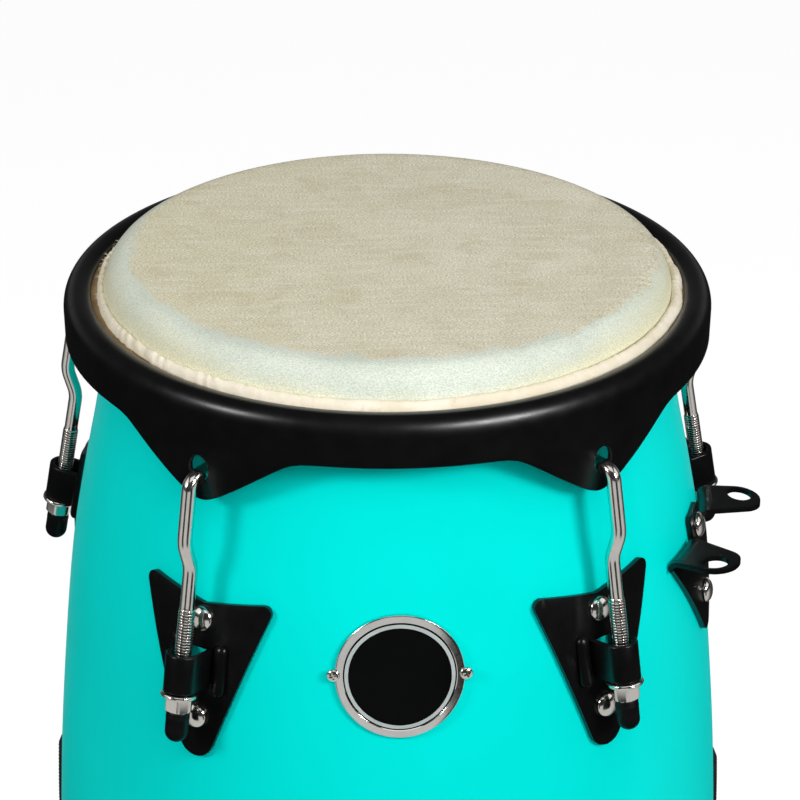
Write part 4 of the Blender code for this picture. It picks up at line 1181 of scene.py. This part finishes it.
def make_bumper(node, material):
    """A rubber pad with fine level ribs and rounded ends, on the shell's side."""
    low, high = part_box(node)
    center = middle_of(node)
    angle = azimuth_of(center)
    verts = [vert.co for vert in frame["nodes"][node].data.vertices]
    half = max(abs(azimuth_of(point) - angle) for point in verts)
    levels = round((high.z - low.z) / BUMPER_RIB_PITCH) * RIB_ROWS
    rows = []
    for i in range(BUMPER_STEPS + 1):
        turn = half * math.sin(math.pi / 2 * (2 * i / BUMPER_STEPS - 1))
        swell = bulge((half - abs(turn)) * shell_radius(center.z), BUMPER_END)
        section = []
        for k, z in enumerate(spaced(high.z, low.z, levels + 1)):
            full = min(bulge(min(high.z - z, z - low.z), BUMPER_EDGE), swell)
            groove = BUMPER_RIB_DEPTH * (0.5 + 0.5 * math.cos(2 * math.pi * k / RIB_ROWS)) ** 2
            thick = (BUMPER_THICK - PLATE_GAP - groove) * (BUMPER_LEAST + (1 - BUMPER_LEAST) * full)
            section.append(polar(shell_radius(z) + PLATE_GAP + thick, turn, z))
        section += [polar(shell_radius(z) + PLATE_GAP, turn, z) for z in (low.z, center.z, high.z)]
        rows.append(section)
    mesh = surface(node + "_ribbed", rows, caps=True, smooth_angle=50)
    stand_for(place(node + "_ribbed", mesh, material, facing(angle)), node)


# Studio


def softbox(name, azimuth, elevation, distance, size, power, seen, pieces):
    """A soft area lamp that all gloss sees, or none, or that only the gloss of some pieces sees."""
    lamp = bpy.data.lights.new(name, "AREA")
    lamp.shape = "RECTANGLE"
    lamp.size, lamp.size_y = size
    lamp.energy = power
    obj = add_object(name, lamp)
    rise = math.radians(elevation)
    out = polar(math.cos(rise), math.radians(azimuth), math.sin(rise))
    obj.location = AXIS + Vector((0, 0, LAMP_AIM)) + out * distance
    obj.rotation_euler = out.to_track_quat("Z", "Y").to_euler()
    obj.visible_camera = False
    obj.visible_glossy = seen != "none"
    if seen in pieces:
        obj.visible_diffuse = False
        obj.light_linking.receiver_collection = pieces[seen]


def backdrop_share(tree, held):
    """How much of the backdrop's tone a ray sees: all of it, less the held part for a glossy ray."""
    return calculate("SUBTRACT", 1.0, calculate("MULTIPLY", light_path(tree, "Glossy"), held))


def not_diffuse(tree):
    return calculate("SUBTRACT", 1.0, light_path(tree, "Diffuse"))


def floor_mirrored(tree):
    """The floor's tone in gloss: dim at the sides, pale behind, and dark in the gaps far out."""
    where = coordinates(tree)
    parts = add_node("SeparateXYZ", {"Vector": where}).outputs
    distance = add_node("VectorMath", {0: where}, operation="LENGTH").outputs["Value"]
    far = remap(distance, FLOOR_GAP_FROM, FLOOR_GAP_TO)
    turn = calculate("ARCTAN2", parts["X"], calculate("MULTIPLY", parts["Y"], -1.0))
    away = calculate("ABSOLUTE", turn, 0.0)
    side = [math.radians(angle) for angle in (FLOOR_SIDE_FROM, FLOOR_SIDE_TO)]
    rear = [math.radians(angle) for angle in (FLOOR_REAR_FROM, FLOOR_REAR_TO)]
    tone = remap(away, *side, FLOOR_MIRRORED, FLOOR_SIDE)
    tone = calculate("ADD", tone, remap(away, *rear, 0.0, FLOOR_REAR - FLOOR_SIDE))
    for center, half, soft in FLOOR_GAPS:
        off = calculate("ABSOLUTE", calculate("SUBTRACT", turn, math.radians(center)), 0.0)
        sides = math.radians(half - soft), math.radians(half + soft)
        shade = calculate("MULTIPLY", far, remap(off, *sides, 1.0 - STUDIO_DARK, 0.0))
        tone = calculate("MULTIPLY", tone, calculate("SUBTRACT", 1.0, shade))
    return tone


def make_floor(bright):
    """A pale floor; its glow is mirrored by the metal and lacquer alone."""
    bm = bmesh.new()
    bmesh.ops.create_grid(bm, x_segments=1, y_segments=1, size=FLOOR_HALF)
    floor = add_object("floor", finish_mesh(bm, "floor", 30))
    floor.location.z = FLOOR_Z
    material = bpy.data.materials.new("white_floor")
    material.use_nodes = True
    tree = material.node_tree
    tree.nodes.remove(tree.nodes["Principled BSDF"])
    dull = calculate("MULTIPLY", backdrop_share(tree, 1.0 - FLOOR_DULL), FLOOR_MATTE)
    matte = add_node("BsdfDiffuse", {"Color": dull})
    share = backdrop_share(tree, calculate("SUBTRACT", 1.0, floor_mirrored(tree)))
    lit = calculate("MULTIPLY", not_diffuse(tree), FLOOR_GLOW)
    glow = add_node("Emission", {"Strength": calculate("MULTIPLY", share, lit)})
    both = add_node("AddShader", {0: matte.outputs[0], 1: glow.outputs[0]})
    feed(tree.nodes["Material Output"], "Surface", both.outputs[0])
    floor.data.materials.append(material)
    floor.light_linking.receiver_collection = bright


def make_world():
    world = bpy.data.worlds.new("studio")
    bpy.context.scene.world = world
    world.use_nodes = True
    tree = world.node_tree
    back = tree.nodes["Background"]
    feed(back, "Color", (1.0, 1.0, 1.0))
    heading = add_node("SeparateXYZ", {"Vector": coordinates(tree, "Generated")}).outputs
    behind = remap(heading["Y"], BACKDROP_FROM, BACKDROP_TO)
    low = remap(heading["Z"], BACKDROP_TOP, BACKDROP_END, STUDIO_PALE, 0.0)
    mirrored = calculate("ADD", calculate("MULTIPLY", behind, low), STUDIO_DARK)
    share = backdrop_share(tree, calculate("SUBTRACT", 1.0, mirrored))
    seen = calculate("MULTIPLY", not_diffuse(tree), share)
    fill = calculate("MULTIPLY", light_path(tree, "Diffuse"), ROOM_FILL)
    feed(back, "Strength", calculate("ADD", seen, fill))


def make_camera():
    data = bpy.data.cameras.new("camera")
    data.lens = CAMERA_LENS
    data.shift_x = CAMERA_SHIFT
    camera = add_object("camera", data)
    camera.location = AXIS + Vector(CAMERA_PLACE)
    camera.rotation_euler = (math.radians(90 - CAMERA_PITCH), 0, math.radians(CAMERA_TURN))
    bpy.context.scene.camera = camera


def pieces_with(name, looks):
    """A collection of the pieces with any of these materials."""
    pieces = bpy.data.collections.new(name)
    for obj in bpy.data.objects:
        if obj.type == "MESH" and any(look in obj.data.materials[:] for look in looks):
            pieces.objects.link(obj)
    return pieces


def make_studio(materials):
    metals = [materials[look] for look in ("nickel", "badge_metal", "plain_steel")]
    pieces = {"metal": pieces_with("bright_metal", metals)}
    pieces["rim"] = pieces_with("rim_piece", [materials["rim_coat"]])
    make_camera()
    make_floor(pieces_with("metal_and_lacquer", metals + [materials["lacquer"]]))
    make_world()
    for name, values in LAMPS.items():
        softbox(name, *values, pieces)
    bpy.context.scene.view_settings.view_transform = "Standard"


def main():
    materials = {
        "lacquer": lacquer(),
        "wood": raw_wood(),
        "rubber": rubber("black_rubber", (0.014, 0.014, 0.015), 0.55),
        "vinyl": rubber("black_vinyl", (0.0032, 0.0032, 0.0036), 0.42),
        "rawhide": rawhide(),
        "raw_edge": raw_edge("raw_edge", (0.78, 0.70, 0.53), (0.87, 0.80, 0.66), (0.58, 0.45, 0.27)),
        # Dark brown hide for the tuck: painted shade in the gap under the rim.
        "painted_shade_hide": raw_edge("painted_shade_hide", (0.26, 0.17, 0.08), (0.4, 0.28, 0.14), (0.15, 0.09, 0.04)),
        "black_metal": black_coat("black_powder_coat", (0.0019, 0.0019, 0.0020), 0.32, 0.45),
        "rim_coat": black_coat("rim_powder_coat", (0.0019, 0.0019, 0.0020), 0.32, 0.45),
        "nickel": metal("bright_nickel", (0.76, 0.73, 0.68), 0.15),
        # Near-black metal for the thread's grooves: painted shade.
        "groove": metal("nickel_groove_painted_shade", (0.04, 0.038, 0.036), 0.35),
        "plain_steel": metal("plain_steel", (0.48, 0.48, 0.49), 0.40),
        "badge_metal": metal("polished_bezel", (0.76, 0.75, 0.72), 0.12, drawn=None),
        "badge_silver": enamel("silver_paint", (0.42, 0.47, 0.46), 0.45, 0.3),
        "badge_black": enamel("black_enamel", (0.0022, 0.0024, 0.0024), 0.22, 0.03),
    }
    make_shell(materials)
    make_foot(materials["rubber"])
    make_head(materials)
    make_lip(materials["raw_edge"])
    make_fibres(materials["raw_edge"])
    make_rim(materials["rim_coat"])
    make_lugs(materials)
    make_badge(materials)
    make_bracket(materials)
    for node in ("bumper_left", "bumper_right"):
        make_bumper(node, materials["rubber"])
    kept = ["flesh_hoop", "bracket_backing_plate"] + [f"backing_plate_{n}" for n in range(1, LUG_COUNT + 1)]
    for node in kept:
        data = frame["nodes"][node].data
        data.materials.clear()
        data.materials.append(materials["plain_steel"])
    make_studio(materials)


main()
